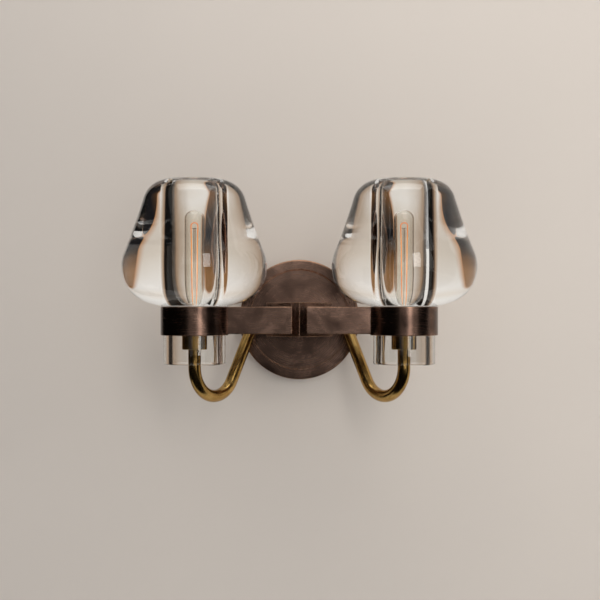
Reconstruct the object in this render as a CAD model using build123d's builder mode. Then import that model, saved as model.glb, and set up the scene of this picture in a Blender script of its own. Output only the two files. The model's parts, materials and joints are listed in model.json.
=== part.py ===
from build123d import *
from math import asin, atan2, cos, hypot, sin, sqrt
import os

# Double arm wall sconce. A round dished backplate carries a V-nosed centre block; two flat arms run
# from the block to a collar each, and a heavy glass shade hangs by its flare in each collar. A brass
# gooseneck leaves the backplate behind each arm, dips and rises into the socket cup on the shade's axis.
# Millimetres. Origin: centre of the wall bracket's back face. +X right, +Z up, the room lies towards -Y.

os.makedirs("parts", exist_ok=True)

# ---- where the shades stand -------------------------------------------------------------------------
axis_reach = 104.7  # centre line to each shade's axis
wall_to_axis = 108.0  # wall to the upright plane through both axes

# ---- backplate --------------------------------------------------------------------------------------
plate_radius = 65.0
plate_depth = 17.0
plate_wall = 1.5
rim_width = 10.7
recess_depth = 2.5
plate_edge_round = 1.2

# ---- wall bracket and its screws --------------------------------------------------------------------
bracket_width = 25.4
bracket_thickness = 2.0
bracket_end_gap = 0.8  # bracket tab to the inside of the backplate's wall
tab_depth = 11.0
tab_bend_radius = 1.5
box_screw_spacing = 83.0
box_slot_length = 22.0
box_slot_width = 4.8
stem_hole_radius = 5.2
set_screw_radius = 2.0
set_screw_setback = 6.0  # wall to the set screws' axis
set_screw_reach = 3.0  # thread past the tab's inner face
set_screw_head_radius = 3.4
set_screw_head_height = 1.8
earth_screw_place = -21.5
earth_screw_radius = 2.0
earth_head_radius = 4.4
earth_head_height = 2.4

# ---- centre block -----------------------------------------------------------------------------------
block_side_clearance = 5.8  # block's side to the ring on the gooseneck beside it
block_height = 34.5
block_lift = 0.8  # the block stands this much above the arms' middle
block_wall = 3.5
nose_proud = 7.0  # nose edge ahead of the arms' front faces
web_thickness = 9.0
block_screw_spacing = 30.0
block_screw_radius = 2.5
block_screw_grip = 14.0  # thread in the block
block_head_radius = 4.6
block_head_height = 3.4
hex_key_radius = 1.9
hex_key_depth = 2.0

# ---- arms and collars -------------------------------------------------------------------------------
arm_height = 27.2
arm_thickness = 8.0
collar_radius = 33.75
collar_wall = 2.5
collar_height = 28.4
edge_break = 0.5  # small chamfer along the bronze edges
gasket_thickness = 0.6

# ---- glass shade ------------------------------------------------------------------------------------
neck_clearance = 0.45  # glass neck inside the collar
seat_gap = 0.2  # shade's seat above the gasket
neck_length = 58.4  # seat to the bottom of the neck
bore_radius = 22.5
seat_radius = 34.0
belly_radius = 72.3
belly_rise = 40.7  # seat to the widest ring
shoulder_radius = 50.35
shoulder_rise = 108.1
crest_radius = 30.6
crest_rise = 125.1
flare_lift = 10.3  # degrees: how the flare leaves the seat
shoulder_lean = 16.6  # degrees: wall's lean inwards at the shoulder
mouth_drop = 6.0  # crest to the start of the straight bore
# Each stretch of the wall above the belly is two tangent arcs. A lead is the first arc's handle over
# the second's: a small one bends early, a large one late.
wall_lead = 0.21
brow_lead = 11.6
lip_lead = 1.28
neck_round = 1.4

# ---- gooseneck --------------------------------------------------------------------------------------
tube_radius = 6.35
tube_wall = 1.2
crook_radius = 30.7
crook_centre_drop = 46.9  # arms' middle to the crook's centre
entry_inset = 7.6  # edge of the backplate's recess to the tube's axis
entry_height = 2.0  # arms' middle to the tube's axis at the backplate
entry_corner_setback = 31.0  # wall to where the leaning leg and the entry would meet
entry_bend_radius = 20.0
tube_end_setback = 7.5  # wall to the tube's cut end
ferrule_rim = 0.85
ferrule_length = 2.4
tube_nut_flats = 17.0
tube_nut_height = 3.6
thread_clearance = 0.05
hole_clearance = 0.25

# ---- socket -----------------------------------------------------------------------------------------
cup_radius = 12.5
cup_wall = 0.8
cup_floor = 1.2
cup_drop = 29.0  # arms' middle to the cup's underside
cup_height = 38.0
nipple_radius = 5.0
nipple_bore = 3.6
nipple_in_tube = 11.0
nipple_in_cup = 8.6
cup_nut_flats = 14.0
cup_nut_height = 3.0
holder_clearance = 0.15
holder_top_drop = 0.5  # cup's rim to the lampholder's top
terminal_radius = 7.6
terminal_height = 3.5
contact_floor = 2.4
shell_radius = 7.7
shell_wall = 0.5
shell_length = 20.5
contact_width = 4.0
contact_thickness = 0.4
contact_spring_rise = 1.7
contact_gap = 0.3  # contact spring to the lamp's button

# ---- lamp -------------------------------------------------------------------------------------------
lamp_radius = 10.0
lamp_length = 89.5  # cap's top to the lamp's crown
lamp_glass = 0.7
cap_clearance = 0.35
cap_wall = 0.3
cap_length = 20.5
lamp_neck_radius = 6.2
lamp_neck_in_cap = 7.0
lamp_flare_length = 8.0
insulator_height = 3.4
insulator_tip_radius = 3.1
button_radius = 2.5
button_height = 1.1
stem_foot_radius = 4.8
stem_pinch_radius = 3.2
stem_height = 15.0
rod_radius = 1.1
rod_rise = 70.0  # cap's top to the rod's tip
filament_radius = 0.45
filament_foot_spread = 1.9  # axis to each foot of the hairpin
filament_head_spread = 3.4
filament_head_rise = 72.0  # cap's top to where the hairpin turns over
anchor_radius = 0.3
anchor_reach = 5.2
anchor_drop = 0.8  # rod's tip to the anchor's wires

# ---- leads ------------------------------------------------------------------------------------------
lead_radius = 0.9
lead_offset = 1.7  # tube's axis to each lead's axis
lead_lane = 5.5  # wall to the leads' lane behind the backplate
lead_turn = 2.0
lead_straight = 0.2  # straight stretch ahead of the turn into the lane
lead_first_step = 6.0  # how far inwards the lower lead runs while it drops to its lane
connector_radius = 4.5
connector_tip_radius = 3.4
connector_length = 18.0
connector_bore = 3.0
connector_bore_depth = 11.0
connector_rise = 17.0  # centre line to each connector's mouth
connector_setback = 6.8  # wall to the connectors' axis
lead_grip = 7.0  # lead inside its connector

# ---- worked out from the sizes above ----------------------------------------------------------------
recess_radius = plate_radius - rim_width
floor_front = -(plate_depth - recess_depth)
floor_back = floor_front + plate_wall
plate_inner_radius = plate_radius - plate_wall
tab_face = sqrt((plate_inner_radius - bracket_end_gap) ** 2 - (bracket_width / 2) ** 2)

arm_front = -(wall_to_axis + arm_thickness / 2)
arm_back = arm_front + arm_thickness
nose_front = arm_front - nose_proud
web_place = block_screw_spacing / 2
entry_reach = recess_radius - entry_inset
block_width = 2 * (entry_reach - tube_radius - ferrule_rim - block_side_clearance)

collar_top = arm_height / 2
collar_bottom = collar_top - collar_height
collar_bore = collar_radius - collar_wall
neck_radius = collar_bore - neck_clearance
seat_level = collar_top + gasket_thickness + seat_gap

cup_bottom = -cup_drop
cup_top = cup_bottom + cup_height
cup_inside_floor = cup_bottom + cup_floor
nipple_bottom = cup_bottom - nipple_in_tube
nipple_top = cup_bottom + nipple_in_cup
holder_radius = cup_radius - cup_wall - holder_clearance
holder_bottom = cup_inside_floor + cup_nut_height
holder_top = cup_top - holder_top_drop
terminal_floor = nipple_top
terminal_ceiling = terminal_floor + terminal_height
socket_floor = terminal_ceiling + contact_floor

shell_bore = shell_radius - shell_wall
cap_radius = shell_bore - cap_clearance
button_bottom = socket_floor + contact_spring_rise + contact_gap
cap_bottom = button_bottom + button_height + insulator_height
cap_top = cap_bottom + cap_length
lamp_neck_bottom = cap_top - lamp_neck_in_cap
stem_top = lamp_neck_bottom + stem_height
rod_tip = cap_top + rod_rise

# The crook lies in an upright plane through the shade's axis and the tube's entry corner. In that
# plane the leaning leg is the tangent from the corner to the crook's circle.
tube_bore = tube_radius - tube_wall
crook_centre = -crook_centre_drop
crook_turn = atan2(wall_to_axis - entry_corner_setback, axis_reach - entry_reach)
corner_run = hypot(wall_to_axis - entry_corner_setback, axis_reach - entry_reach)
corner_span = hypot(corner_run - crook_radius, entry_height - crook_centre)
corner_lean = atan2(corner_run - crook_radius, entry_height - crook_centre)
leg_lean = corner_lean - asin(crook_radius / corner_span)


def axis_plane(side, level=0.0):
    """Level plane on a shade's axis; side is -1 for left and 1 for right."""
    return Plane(origin=(side * axis_reach, -wall_to_axis, level), z_dir=(0, 0, 1))


def section_plane(side):
    """Upright plane through a shade's axis: local x is the radius, local y the height."""
    return Plane(origin=(side * axis_reach, -wall_to_axis, 0), x_dir=(1, 0, 0), z_dir=(0, -1, 0))


def upright_axis(side):
    """The line that a shade, its socket and its lamp turn about."""
    return Axis((side * axis_reach, -wall_to_axis, 0), (0, 0, 1))


def wall_plane(setback):
    """Upright plane parallel to the wall and in front of it, facing the room."""
    return Plane(origin=(0, -setback, 0), x_dir=(1, 0, 0), z_dir=(0, -1, 0))


def write(piece, label):
    """Label a finished piece and write it under that name."""
    piece.label = label
    export_step(piece, f"parts/{label}.step")


# ---- wall bracket: a strap with two slots, bent forward at both ends --------------------------------
with BuildPart() as wall_bracket:
    with BuildSketch(Plane.XY) as bracket_section:
        with BuildLine():
            outside = FilletPolyline(
                (-tab_face, -tab_depth),
                (-tab_face, 0),
                (tab_face, 0),
                (tab_face, -tab_depth),
                radius=tab_bend_radius + bracket_thickness,
            )
            inner_face = tab_face - bracket_thickness
            inside = FilletPolyline(
                (-inner_face, -tab_depth),
                (-inner_face, -bracket_thickness),
                (inner_face, -bracket_thickness),
                (inner_face, -tab_depth),
                radius=tab_bend_radius,
            )
            Line(outside @ 0, inside @ 0)
            Line(outside @ 1, inside @ 1)
        make_face()
    extrude(amount=bracket_width / 2, both=True)
    with BuildSketch(wall_plane(0)) as strap_holes:
        with Locations((-box_screw_spacing / 2, 0), (box_screw_spacing / 2, 0)):
            SlotOverall(box_slot_length, box_slot_width)
        Circle(stem_hole_radius)
        with Locations((earth_screw_place, 0)):
            Circle(earth_screw_radius + thread_clearance)
    extrude(amount=bracket_thickness, mode=Mode.SUBTRACT)
    with BuildSketch(Plane.YZ) as set_screw_threads:
        with Locations((-set_screw_setback, 0)):
            Circle(set_screw_radius + thread_clearance)
    extrude(amount=tab_face, both=True, mode=Mode.SUBTRACT)
write(wall_bracket.part, "wall_bracket")

with BuildPart() as bracket_earth_screw:
    with BuildSketch(wall_plane(0)) as earth_shank:
        with Locations((earth_screw_place, 0)):
            Circle(earth_screw_radius)
    extrude(amount=bracket_thickness)
    with BuildSketch(wall_plane(bracket_thickness)) as earth_head:
        with Locations((earth_screw_place, 0)):
            Circle(earth_head_radius)
    extrude(amount=earth_head_height)
    earth_crown = bracket_earth_screw.faces().sort_by(Axis.Y)[0]
    chamfer(earth_crown.edges(), edge_break)
    with BuildSketch(wall_plane(bracket_thickness + earth_head_height)) as earth_slot:
        with Locations((earth_screw_place, 0)):
            Rectangle(2 * earth_head_radius, earth_screw_radius / 2)
    extrude(amount=-earth_head_height / 2, mode=Mode.SUBTRACT)
write(bracket_earth_screw.part, "bracket_earth_screw")

# ---- backplate: a spun dish with a raised rim round a sunk floor ------------------------------------
with BuildPart() as backplate:
    with BuildSketch(Plane.XY) as plate_section:
        with BuildLine():
            Polyline(
                (0, floor_front),
                (recess_radius, floor_front),
                (recess_radius, -plate_depth),
                (plate_radius, -plate_depth),
                (plate_radius, 0),
                (plate_inner_radius, 0),
                (plate_inner_radius, -plate_depth + plate_wall),
                (recess_radius + plate_wall, -plate_depth + plate_wall),
                (recess_radius + plate_wall, floor_back),
                (0, floor_back),
                close=True,
            )
        make_face()
    revolve(axis=Axis.Y)
    front_rings = backplate.edges().filter_by(GeomType.CIRCLE).group_by(Axis.Y)[0]
    fillet(front_rings.sort_by(SortBy.RADIUS)[-1], plate_edge_round)
    chamfer(front_rings.sort_by(SortBy.RADIUS)[0], edge_break / 2)
    with BuildSketch(wall_plane(-floor_back)) as floor_holes:
        with Locations((-web_place, block_lift), (web_place, block_lift)):
            Circle(block_screw_radius + hole_clearance)
        with Locations((-entry_reach, entry_height), (entry_reach, entry_height)):
            Circle(tube_radius + thread_clearance)
    extrude(amount=plate_wall, mode=Mode.SUBTRACT)
    with BuildSketch(Plane.YZ) as wall_holes:
        with Locations((-set_screw_setback, 0)):
            Circle(set_screw_radius + hole_clearance)
    extrude(amount=plate_radius, both=True, mode=Mode.SUBTRACT)
write(backplate.part, "backplate")

# ---- set screws: one through each side of the backplate into the bracket's tabs ---------------------
with BuildPart() as backplate_set_screws:
    thread_tip = tab_face - bracket_thickness - set_screw_reach
    for side in (-1, 1):
        screw_axis = Plane(origin=(0, -set_screw_setback, 0), z_dir=(side, 0, 0))
        with BuildSketch(screw_axis.offset(thread_tip)) as set_shank:
            Circle(set_screw_radius)
        extrude(amount=plate_radius - thread_tip)
        with BuildSketch(screw_axis.offset(plate_radius)) as set_head:
            Circle(set_screw_head_radius)
        extrude(amount=set_screw_head_height)
        with BuildSketch(screw_axis.offset(plate_radius + set_screw_head_height)) as set_slot:
            Rectangle(2 * set_screw_head_radius, set_screw_radius / 2)
        extrude(amount=-set_screw_head_height / 2, mode=Mode.SUBTRACT)
write(backplate_set_screws.part, "backplate_set_screws")


def house_outline(half_width, nose, rear):
    """Plan of the block: a square nose to the front, straight sides back to the rear."""
    return Polyline(
        (0, nose),
        (half_width, nose + half_width),
        (half_width, rear),
        (-half_width, rear),
        (-half_width, nose + half_width),
        close=True,
    )


# ---- centre block: cast with a V nose, cored from behind between two webs ---------------------------
with BuildPart() as centre_block:
    with BuildSketch(Plane.XY.offset(block_lift)) as block_plan:
        with BuildLine():
            house_outline(block_width / 2, nose_front, floor_front)
        make_face()
    extrude(amount=block_height / 2, both=True)
    chamfer(centre_block.faces().group_by(Axis.Z)[-1].edges(), edge_break)
    chamfer(centre_block.faces().group_by(Axis.Z)[0].edges(), edge_break)
    with BuildSketch(Plane.XY.offset(block_lift)) as block_core:
        with BuildLine():
            house_outline(block_width / 2 - block_wall, nose_front + block_wall * sqrt(2), floor_front)
        make_face()
        with Locations((-web_place, nose_front / 2), (web_place, nose_front / 2)):
            Rectangle(web_thickness, -nose_front, mode=Mode.SUBTRACT)
    extrude(amount=block_height / 2 - block_wall, both=True, mode=Mode.SUBTRACT)
    with BuildSketch(wall_plane(-floor_front)) as block_threads:
        with Locations((-web_place, block_lift), (web_place, block_lift)):
            Circle(block_screw_radius + thread_clearance)
    extrude(amount=block_screw_grip + block_screw_radius, mode=Mode.SUBTRACT)
write(centre_block.part, "centre_block")

with BuildPart() as block_screws:
    for side in (-1, 1):
        with BuildSketch(wall_plane(-floor_back)) as block_shank:
            with Locations((side * web_place, block_lift)):
                Circle(block_screw_radius)
        extrude(amount=plate_wall + block_screw_grip)
        with BuildSketch(wall_plane(-floor_back)) as block_head:
            with Locations((side * web_place, block_lift)):
                Circle(block_head_radius)
        extrude(amount=-block_head_height)
        with BuildSketch(wall_plane(-floor_back - block_head_height)) as hex_socket:
            with Locations((side * web_place, block_lift)):
                RegularPolygon(hex_key_radius, 6)
        extrude(amount=hex_key_depth, mode=Mode.SUBTRACT)
write(block_screws.part, "block_screws")

# ---- lock nuts behind the backplate, one on each gooseneck's threaded end ---------------------------
with BuildPart() as gooseneck_lock_nuts:
    with BuildSketch(wall_plane(-floor_back)) as tube_nut_plan:
        with Locations((-entry_reach, entry_height), (entry_reach, entry_height)):
            RegularPolygon(tube_nut_flats / 2, 6, major_radius=False)
            Circle(tube_radius + thread_clearance, mode=Mode.SUBTRACT)
    extrude(amount=-tube_nut_height)
write(gooseneck_lock_nuts.part, "gooseneck_lock_nuts")

with BuildPart() as cup_lock_nuts:
    for side in (-1, 1):
        with BuildSketch(axis_plane(side, cup_inside_floor)) as cup_nut_plan:
            RegularPolygon(cup_nut_flats / 2, 6, major_radius=False)
            Circle(nipple_radius + thread_clearance, mode=Mode.SUBTRACT)
        extrude(amount=cup_nut_height)
write(cup_lock_nuts.part, "cup_lock_nuts")

# ---- wire connectors: tapered caps in the backplate, mouths towards the middle ----------------------
with BuildPart() as wire_connectors:
    for up in (-1, 1):
        with BuildSketch(Plane.YZ) as connector_section:
            with BuildLine():
                Polyline(
                    (-connector_setback, up * (connector_rise + connector_bore_depth)),
                    (-connector_setback + connector_bore, up * (connector_rise + connector_bore_depth)),
                    (-connector_setback + connector_bore, up * connector_rise),
                    (-connector_setback + connector_radius, up * connector_rise),
                    (-connector_setback + connector_tip_radius, up * (connector_rise + connector_length)),
                    (-connector_setback, up * (connector_rise + connector_length)),
                    close=True,
                )
            make_face()
        revolve(axis=Axis((0, -connector_setback, 0), (0, 0, 1)))
write(wire_connectors.part, "wire_connectors")


def make_arm(side):
    """Flat bar, mitred on the block's nose and hollowed to the collar's round at its far end."""
    with BuildPart() as arm:
        with BuildSketch(Plane.XY) as arm_plan:
            with BuildLine():
                Polyline(
                    (side * nose_proud, arm_front),
                    (side * axis_reach, arm_front),
                    (side * axis_reach, arm_back),
                    (side * (nose_proud + arm_thickness), arm_back),
                    close=True,
                )
            make_face()
            with Locations((side * axis_reach, -wall_to_axis)):
                Circle(collar_radius, mode=Mode.SUBTRACT)
        extrude(amount=arm_height / 2, both=True)
        long_edges = arm.edges().filter_by(Axis.X)
        chamfer(long_edges, edge_break)
    return arm.part


def make_collar(side):
    """Plain band round the neck of a shade."""
    with BuildPart() as collar:
        with BuildSketch(axis_plane(side, collar_bottom)) as collar_plan:
            Circle(collar_radius)
            Circle(collar_bore, mode=Mode.SUBTRACT)
        extrude(amount=collar_height)
        rims = collar.edges().filter_by(GeomType.CIRCLE).group_by(SortBy.RADIUS)[-1]
        chamfer(rims, edge_break)
    return collar.part


def make_gasket(side):
    """Thin clear ring between the collar's top edge and the flare of the shade."""
    with BuildPart() as gasket:
        with BuildSketch(axis_plane(side, collar_top)) as gasket_plan:
            Circle(collar_radius - edge_break)
            Circle(collar_bore, mode=Mode.SUBTRACT)
        extrude(amount=gasket_thickness)
    return gasket.part


def two_arcs(start, heading, end, end_heading, lead):
    """Join two points by two arcs, tangent to each other and to the heading at either end."""
    gap = end - start
    closing = 2 * lead * (heading.dot(end_heading) - 1)
    half_linear = gap.dot(lead * heading + end_heading)
    handle = (half_linear - sqrt(half_linear**2 - closing * gap.dot(gap))) / closing
    joint = (start + lead * handle * heading + lead * (end - handle * end_heading)) / (1 + lead)
    first_arc = TangentArc(start, joint, tangent=heading)
    TangentArc(joint, end, tangent=first_arc % 1)


def make_shade(side):
    """Thick bell of glass in one piece with its neck, open from end to end along a straight bore."""
    neck_bottom = seat_level - neck_length
    seat = Vector(seat_radius, seat_level)
    belly = Vector(belly_radius, seat_level + belly_rise)
    shoulder = Vector(shoulder_radius, seat_level + shoulder_rise)
    crest = Vector(crest_radius, seat_level + crest_rise)
    mouth = Vector(bore_radius, crest.Y - mouth_drop)
    upwards = Vector(0, 1)
    inwards = Vector(-1, 0)
    flare_heading = Vector(1, 0).rotate(Axis.Z, flare_lift)
    shoulder_heading = upwards.rotate(Axis.Z, shoulder_lean)
    # Handles of the underside's curve, as shares of its run out and its rise.
    flare_handle = 0.65 * (belly_radius - seat_radius)
    belly_handle = 0.58 * belly_rise
    with BuildPart() as shade:
        with BuildSketch(section_plane(side)) as shade_section:
            with BuildLine():
                Polyline(
                    mouth,
                    (bore_radius, neck_bottom),
                    (neck_radius, neck_bottom),
                    (neck_radius, seat_level),
                    seat,
                )
                Bezier(seat, seat + flare_handle * flare_heading, belly - belly_handle * upwards, belly)
                two_arcs(belly, upwards, shoulder, shoulder_heading, wall_lead)
                two_arcs(shoulder, shoulder_heading, crest, inwards, brow_lead)
                two_arcs(crest, inwards, mouth, -upwards, lip_lead)
            make_face()
            neck_corners = shade_section.vertices().group_by(Axis.Y)[0]
            fillet(neck_corners, neck_round)
        revolve(axis=upright_axis(side))
    return shade.part


def crook_plane(side):
    """Upright plane of a gooseneck's crook: local x runs inwards and back, local y up."""
    inwards = Vector(-side * cos(crook_turn), sin(crook_turn), 0)
    return Plane(
        origin=(side * axis_reach, -wall_to_axis, 0), x_dir=inwards, z_dir=inwards.cross(Vector(0, 0, 1))
    )


def tube_route(side, top, setback, aside=0.0):
    """Axis of a gooseneck: down from its top, round the crook, up the leaning leg, into the backplate.

    A lead's axis is the same line, moved aside along the crook plane's normal.
    """
    plane = crook_plane(side).offset(aside)
    corner = plane.from_local_coords((corner_run, entry_height))
    with BuildLine(plane) as route:
        drop = Line((0, top), (0, crook_centre))
        crook = ThreePointArc(
            drop @ 1,
            (crook_radius, crook_centre - crook_radius),
            (crook_radius * (1 + cos(leg_lean)), crook_centre - crook_radius * sin(leg_lean)),
        )
        FilletPolyline(crook @ 1, corner, Vector(corner.X, -setback, corner.Z), radius=entry_bend_radius)
    return route.wires()[0]


def make_gooseneck(side):
    """Bent brass tube from the socket cup's underside to its threaded end behind the backplate."""
    route = tube_route(side, cup_bottom, tube_end_setback)
    with BuildPart() as gooseneck:
        with BuildSketch(axis_plane(side, cup_bottom)) as tube_section:
            Circle(tube_radius)
            Circle(tube_bore, mode=Mode.SUBTRACT)
        sweep(path=route)
    return gooseneck.part


def make_ferrule(side):
    """Stop ring on a gooseneck, against the front of the backplate's floor."""
    with BuildPart() as ferrule:
        with BuildSketch(wall_plane(-floor_front)) as ferrule_plan:
            with Locations((side * entry_reach, entry_height)):
                Circle(tube_radius + ferrule_rim)
                Circle(tube_radius, mode=Mode.SUBTRACT)
        extrude(amount=ferrule_length)
    return ferrule.part


def make_nipple(side):
    """Threaded pipe that joins the gooseneck, the socket cup and the lampholder."""
    with BuildPart() as nipple:
        with BuildSketch(axis_plane(side, nipple_bottom)) as nipple_plan:
            Circle(nipple_radius)
            Circle(nipple_bore, mode=Mode.SUBTRACT)
        extrude(amount=nipple_top - nipple_bottom)
    return nipple.part


def make_socket_cup(side):
    """Drawn brass cup with a flat floor, standing on the gooseneck."""
    with BuildPart() as cup:
        with BuildSketch(section_plane(side)) as cup_section:
            with BuildLine():
                Polyline(
                    (nipple_radius + thread_clearance, cup_bottom),
                    (cup_radius, cup_bottom),
                    (cup_radius, cup_top),
                    (cup_radius - cup_wall, cup_top),
                    (cup_radius - cup_wall, cup_inside_floor),
                    (nipple_radius + thread_clearance, cup_inside_floor),
                    close=True,
                )
            make_face()
        revolve(axis=upright_axis(side))
        under_rim = cup.edges().filter_by(GeomType.CIRCLE).group_by(Axis.Z)[0].sort_by(SortBy.RADIUS)[-1]
        chamfer(under_rim, edge_break / 2)
    return cup.part


def make_lampholder(side):
    """Moulded holder: terminal chamber over the nipple, contact floor, and the well for the screw shell."""
    with BuildPart() as holder:
        with BuildSketch(section_plane(side)) as holder_section:
            with BuildLine():
                Polyline(
                    (nipple_radius + thread_clearance, holder_bottom),
                    (holder_radius, holder_bottom),
                    (holder_radius, holder_top),
                    (shell_radius, holder_top),
                    (shell_radius, socket_floor),
                    (0, socket_floor),
                    (0, terminal_ceiling),
                    (terminal_radius, terminal_ceiling),
                    (terminal_radius, terminal_floor),
                    (nipple_radius + thread_clearance, terminal_floor),
                    close=True,
                )
            make_face()
        revolve(axis=upright_axis(side))
    return holder.part


def make_screw_shell(side):
    """Brass sleeve that takes the lamp's cap, with a small flange on the contact floor."""
    flange_bore = shell_bore - 2 * shell_wall
    with BuildPart() as shell:
        with BuildSketch(section_plane(side)) as shell_section:
            with BuildLine():
                Polyline(
                    (flange_bore, socket_floor),
                    (shell_radius, socket_floor),
                    (shell_radius, socket_floor + shell_length),
                    (shell_bore, socket_floor + shell_length),
                    (shell_bore, socket_floor + shell_wall),
                    (flange_bore, socket_floor + shell_wall),
                    close=True,
                )
            make_face()
        revolve(axis=upright_axis(side))
    return shell.part


def make_centre_contact(side):
    """Sprung tongue under the lamp's button: a foot on the contact floor, folded back over itself."""
    with BuildPart() as contact:
        with BuildSketch(section_plane(side)) as tongue_section:
            with BuildLine():
                spring = FilletPolyline(
                    (button_radius, socket_floor + contact_thickness / 2),
                    (-button_radius, socket_floor + contact_thickness / 2),
                    (-button_radius, socket_floor + contact_spring_rise - contact_thickness / 2),
                    (button_radius, socket_floor + contact_spring_rise - contact_thickness / 2),
                    radius=contact_thickness,
                )
                offset(spring, amount=contact_thickness / 2, side=Side.BOTH)
            make_face()
        extrude(amount=contact_width / 2, both=True)
    return contact.part


def make_lamp_envelope(side):
    """Clear tube of the lamp with a round crown, drawn in to a neck that is cemented in the cap."""
    lamp_top = cap_top + lamp_length
    shoulder_level = cap_top + lamp_flare_length
    dome_level = lamp_top - lamp_radius
    inner_radius = lamp_radius - lamp_glass
    inner_neck = lamp_neck_radius - lamp_glass
    half_flare = lamp_flare_length / 2
    with BuildPart() as envelope:
        with BuildSketch(section_plane(side)) as envelope_section:
            with BuildLine():
                Line((0, lamp_top), (0, lamp_top - lamp_glass))
                CenterArc((0, dome_level), inner_radius, 0, 90)
                Line((inner_radius, dome_level), (inner_radius, shoulder_level))
                Bezier(
                    (inner_radius, shoulder_level),
                    (inner_radius, shoulder_level - half_flare),
                    (inner_neck, cap_top + half_flare),
                    (inner_neck, cap_top),
                )
                Polyline(
                    (inner_neck, cap_top),
                    (inner_neck, lamp_neck_bottom),
                    (lamp_neck_radius, lamp_neck_bottom),
                    (lamp_neck_radius, cap_top),
                )
                Bezier(
                    (lamp_neck_radius, cap_top),
                    (lamp_neck_radius, cap_top + half_flare),
                    (lamp_radius, shoulder_level - half_flare),
                    (lamp_radius, shoulder_level),
                )
                Line((lamp_radius, shoulder_level), (lamp_radius, dome_level))
                CenterArc((0, dome_level), lamp_radius, 0, 90)
            make_face()
        revolve(axis=upright_axis(side))
    return envelope.part


def make_lamp_cap(side):
    """Metal screw cap of the lamp: a thin cup, open at the top round the glass neck."""
    with BuildPart() as cap:
        with BuildSketch(section_plane(side)) as cap_section:
            with BuildLine():
                Polyline(
                    (insulator_tip_radius, cap_bottom),
                    (cap_radius - cap_wall, cap_bottom),
                    (cap_radius, cap_bottom + cap_wall),
                    (cap_radius, cap_top),
                    (cap_radius - cap_wall, cap_top),
                    (cap_radius - cap_wall, cap_bottom + 2 * cap_wall),
                    (insulator_tip_radius, cap_bottom + cap_wall),
                    close=True,
                )
            make_face()
        revolve(axis=upright_axis(side))
    return cap.part


def make_cap_insulator(side):
    """Black glass cone between the cap and its centre button."""
    with BuildPart() as insulator:
        with BuildSketch(section_plane(side)) as insulator_section:
            with BuildLine():
                Polyline(
                    (0, cap_bottom - insulator_height),
                    (insulator_tip_radius, cap_bottom - insulator_height),
                    (cap_radius - 2 * cap_wall, cap_bottom),
                    (0, cap_bottom),
                    close=True,
                )
            make_face()
        revolve(axis=upright_axis(side))
    return insulator.part


def make_cap_button(side):
    """Centre contact of the lamp's cap."""
    with BuildPart() as button:
        with BuildSketch(axis_plane(side, button_bottom)) as button_plan:
            Circle(button_radius)
        extrude(amount=button_height)
        chamfer(button.edges().group_by(Axis.Z)[0], button_height / 3)
    return button.part


def anchor_sections(side, radius):
    """Round sections of the anchor's two crossed wires, through the rod just below its tip."""
    centre = Vector(side * axis_reach, -wall_to_axis, rod_tip - anchor_drop)
    sections = []
    for direction in (Vector(1, 0, 0), Vector(0, 1, 0)):
        with BuildSketch(Plane(origin=centre, z_dir=direction)) as wire_section:
            Circle(radius)
        sections.append(wire_section.sketch)
    return sections


def make_lamp_stem(side):
    """Pressed glass foot with the thin rod that steadies the filament through its cross of wire."""
    with BuildPart() as stem:
        with BuildSketch(section_plane(side)) as stem_section:
            with BuildLine():
                Polyline(
                    (0, lamp_neck_bottom),
                    (stem_foot_radius, lamp_neck_bottom),
                    (stem_pinch_radius, stem_top - stem_pinch_radius),
                    (stem_pinch_radius, stem_top),
                    (rod_radius, stem_top),
                    (rod_radius, rod_tip),
                    (0, rod_tip),
                    close=True,
                )
            make_face()
        revolve(axis=upright_axis(side))
        for section in anchor_sections(side, anchor_radius + thread_clearance):
            extrude(section, amount=2 * rod_radius, both=True, mode=Mode.SUBTRACT)
    return stem.part


def make_filament_anchor(side):
    """Cross of fine wire through the rod's head."""
    with BuildPart() as anchor:
        for section in anchor_sections(side, anchor_radius):
            extrude(section, amount=anchor_reach / 2, both=True)
    return anchor.part


def make_filament(side):
    """Hairpin: two strands that spread a little as they rise, joined by a turn above the rod."""
    foot_level = stem_top + thread_clearance
    head_level = cap_top + filament_head_rise
    # The strands stand just in front of the rod, clear of it.
    with BuildLine(section_plane(side).offset(rod_radius + filament_radius + thread_clearance)) as hairpin:
        left_strand = Line((-filament_foot_spread, foot_level), (-filament_head_spread, head_level))
        TangentArc(
            (-filament_head_spread, head_level),
            (filament_head_spread, head_level),
            tangent=left_strand % 1,
        )
        Line((filament_head_spread, head_level), (filament_foot_spread, foot_level))
    with BuildPart() as filament:
        with BuildSketch(Plane(origin=left_strand @ 0, z_dir=left_strand % 0)) as strand_section:
            Circle(filament_radius)
        sweep(path=hairpin.line)
    return filament.part


def lead_route(side, up):
    """A lead's axis: beside the tube's axis to the backplate, then along its lane to a connector."""
    lane_entry = lead_lane + lead_turn + lead_straight
    in_tube = tube_route(side, terminal_floor + terminal_height / 2, lane_entry, -side * up * lead_offset)
    tube_mouth = in_tube @ 1
    landing = Vector(side * 2 * lead_radius, -connector_setback, up * (connector_rise + lead_grip))
    lane_start = Vector(tube_mouth.X, -lead_lane, tube_mouth.Z)
    lane_end = Vector(landing.X, -lead_lane, up * connector_rise / 2)
    step_down = Vector(lane_start.X - side * lead_first_step, -lead_lane, lane_end.Z)
    lane = [lane_start, lane_end] if up > 0 else [lane_start, step_down, lane_end]
    with BuildLine() as route:
        add(in_tube)
        FilletPolyline(tube_mouth, *lane, landing, radius=lead_turn)
    return route.wires()[0]


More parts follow.
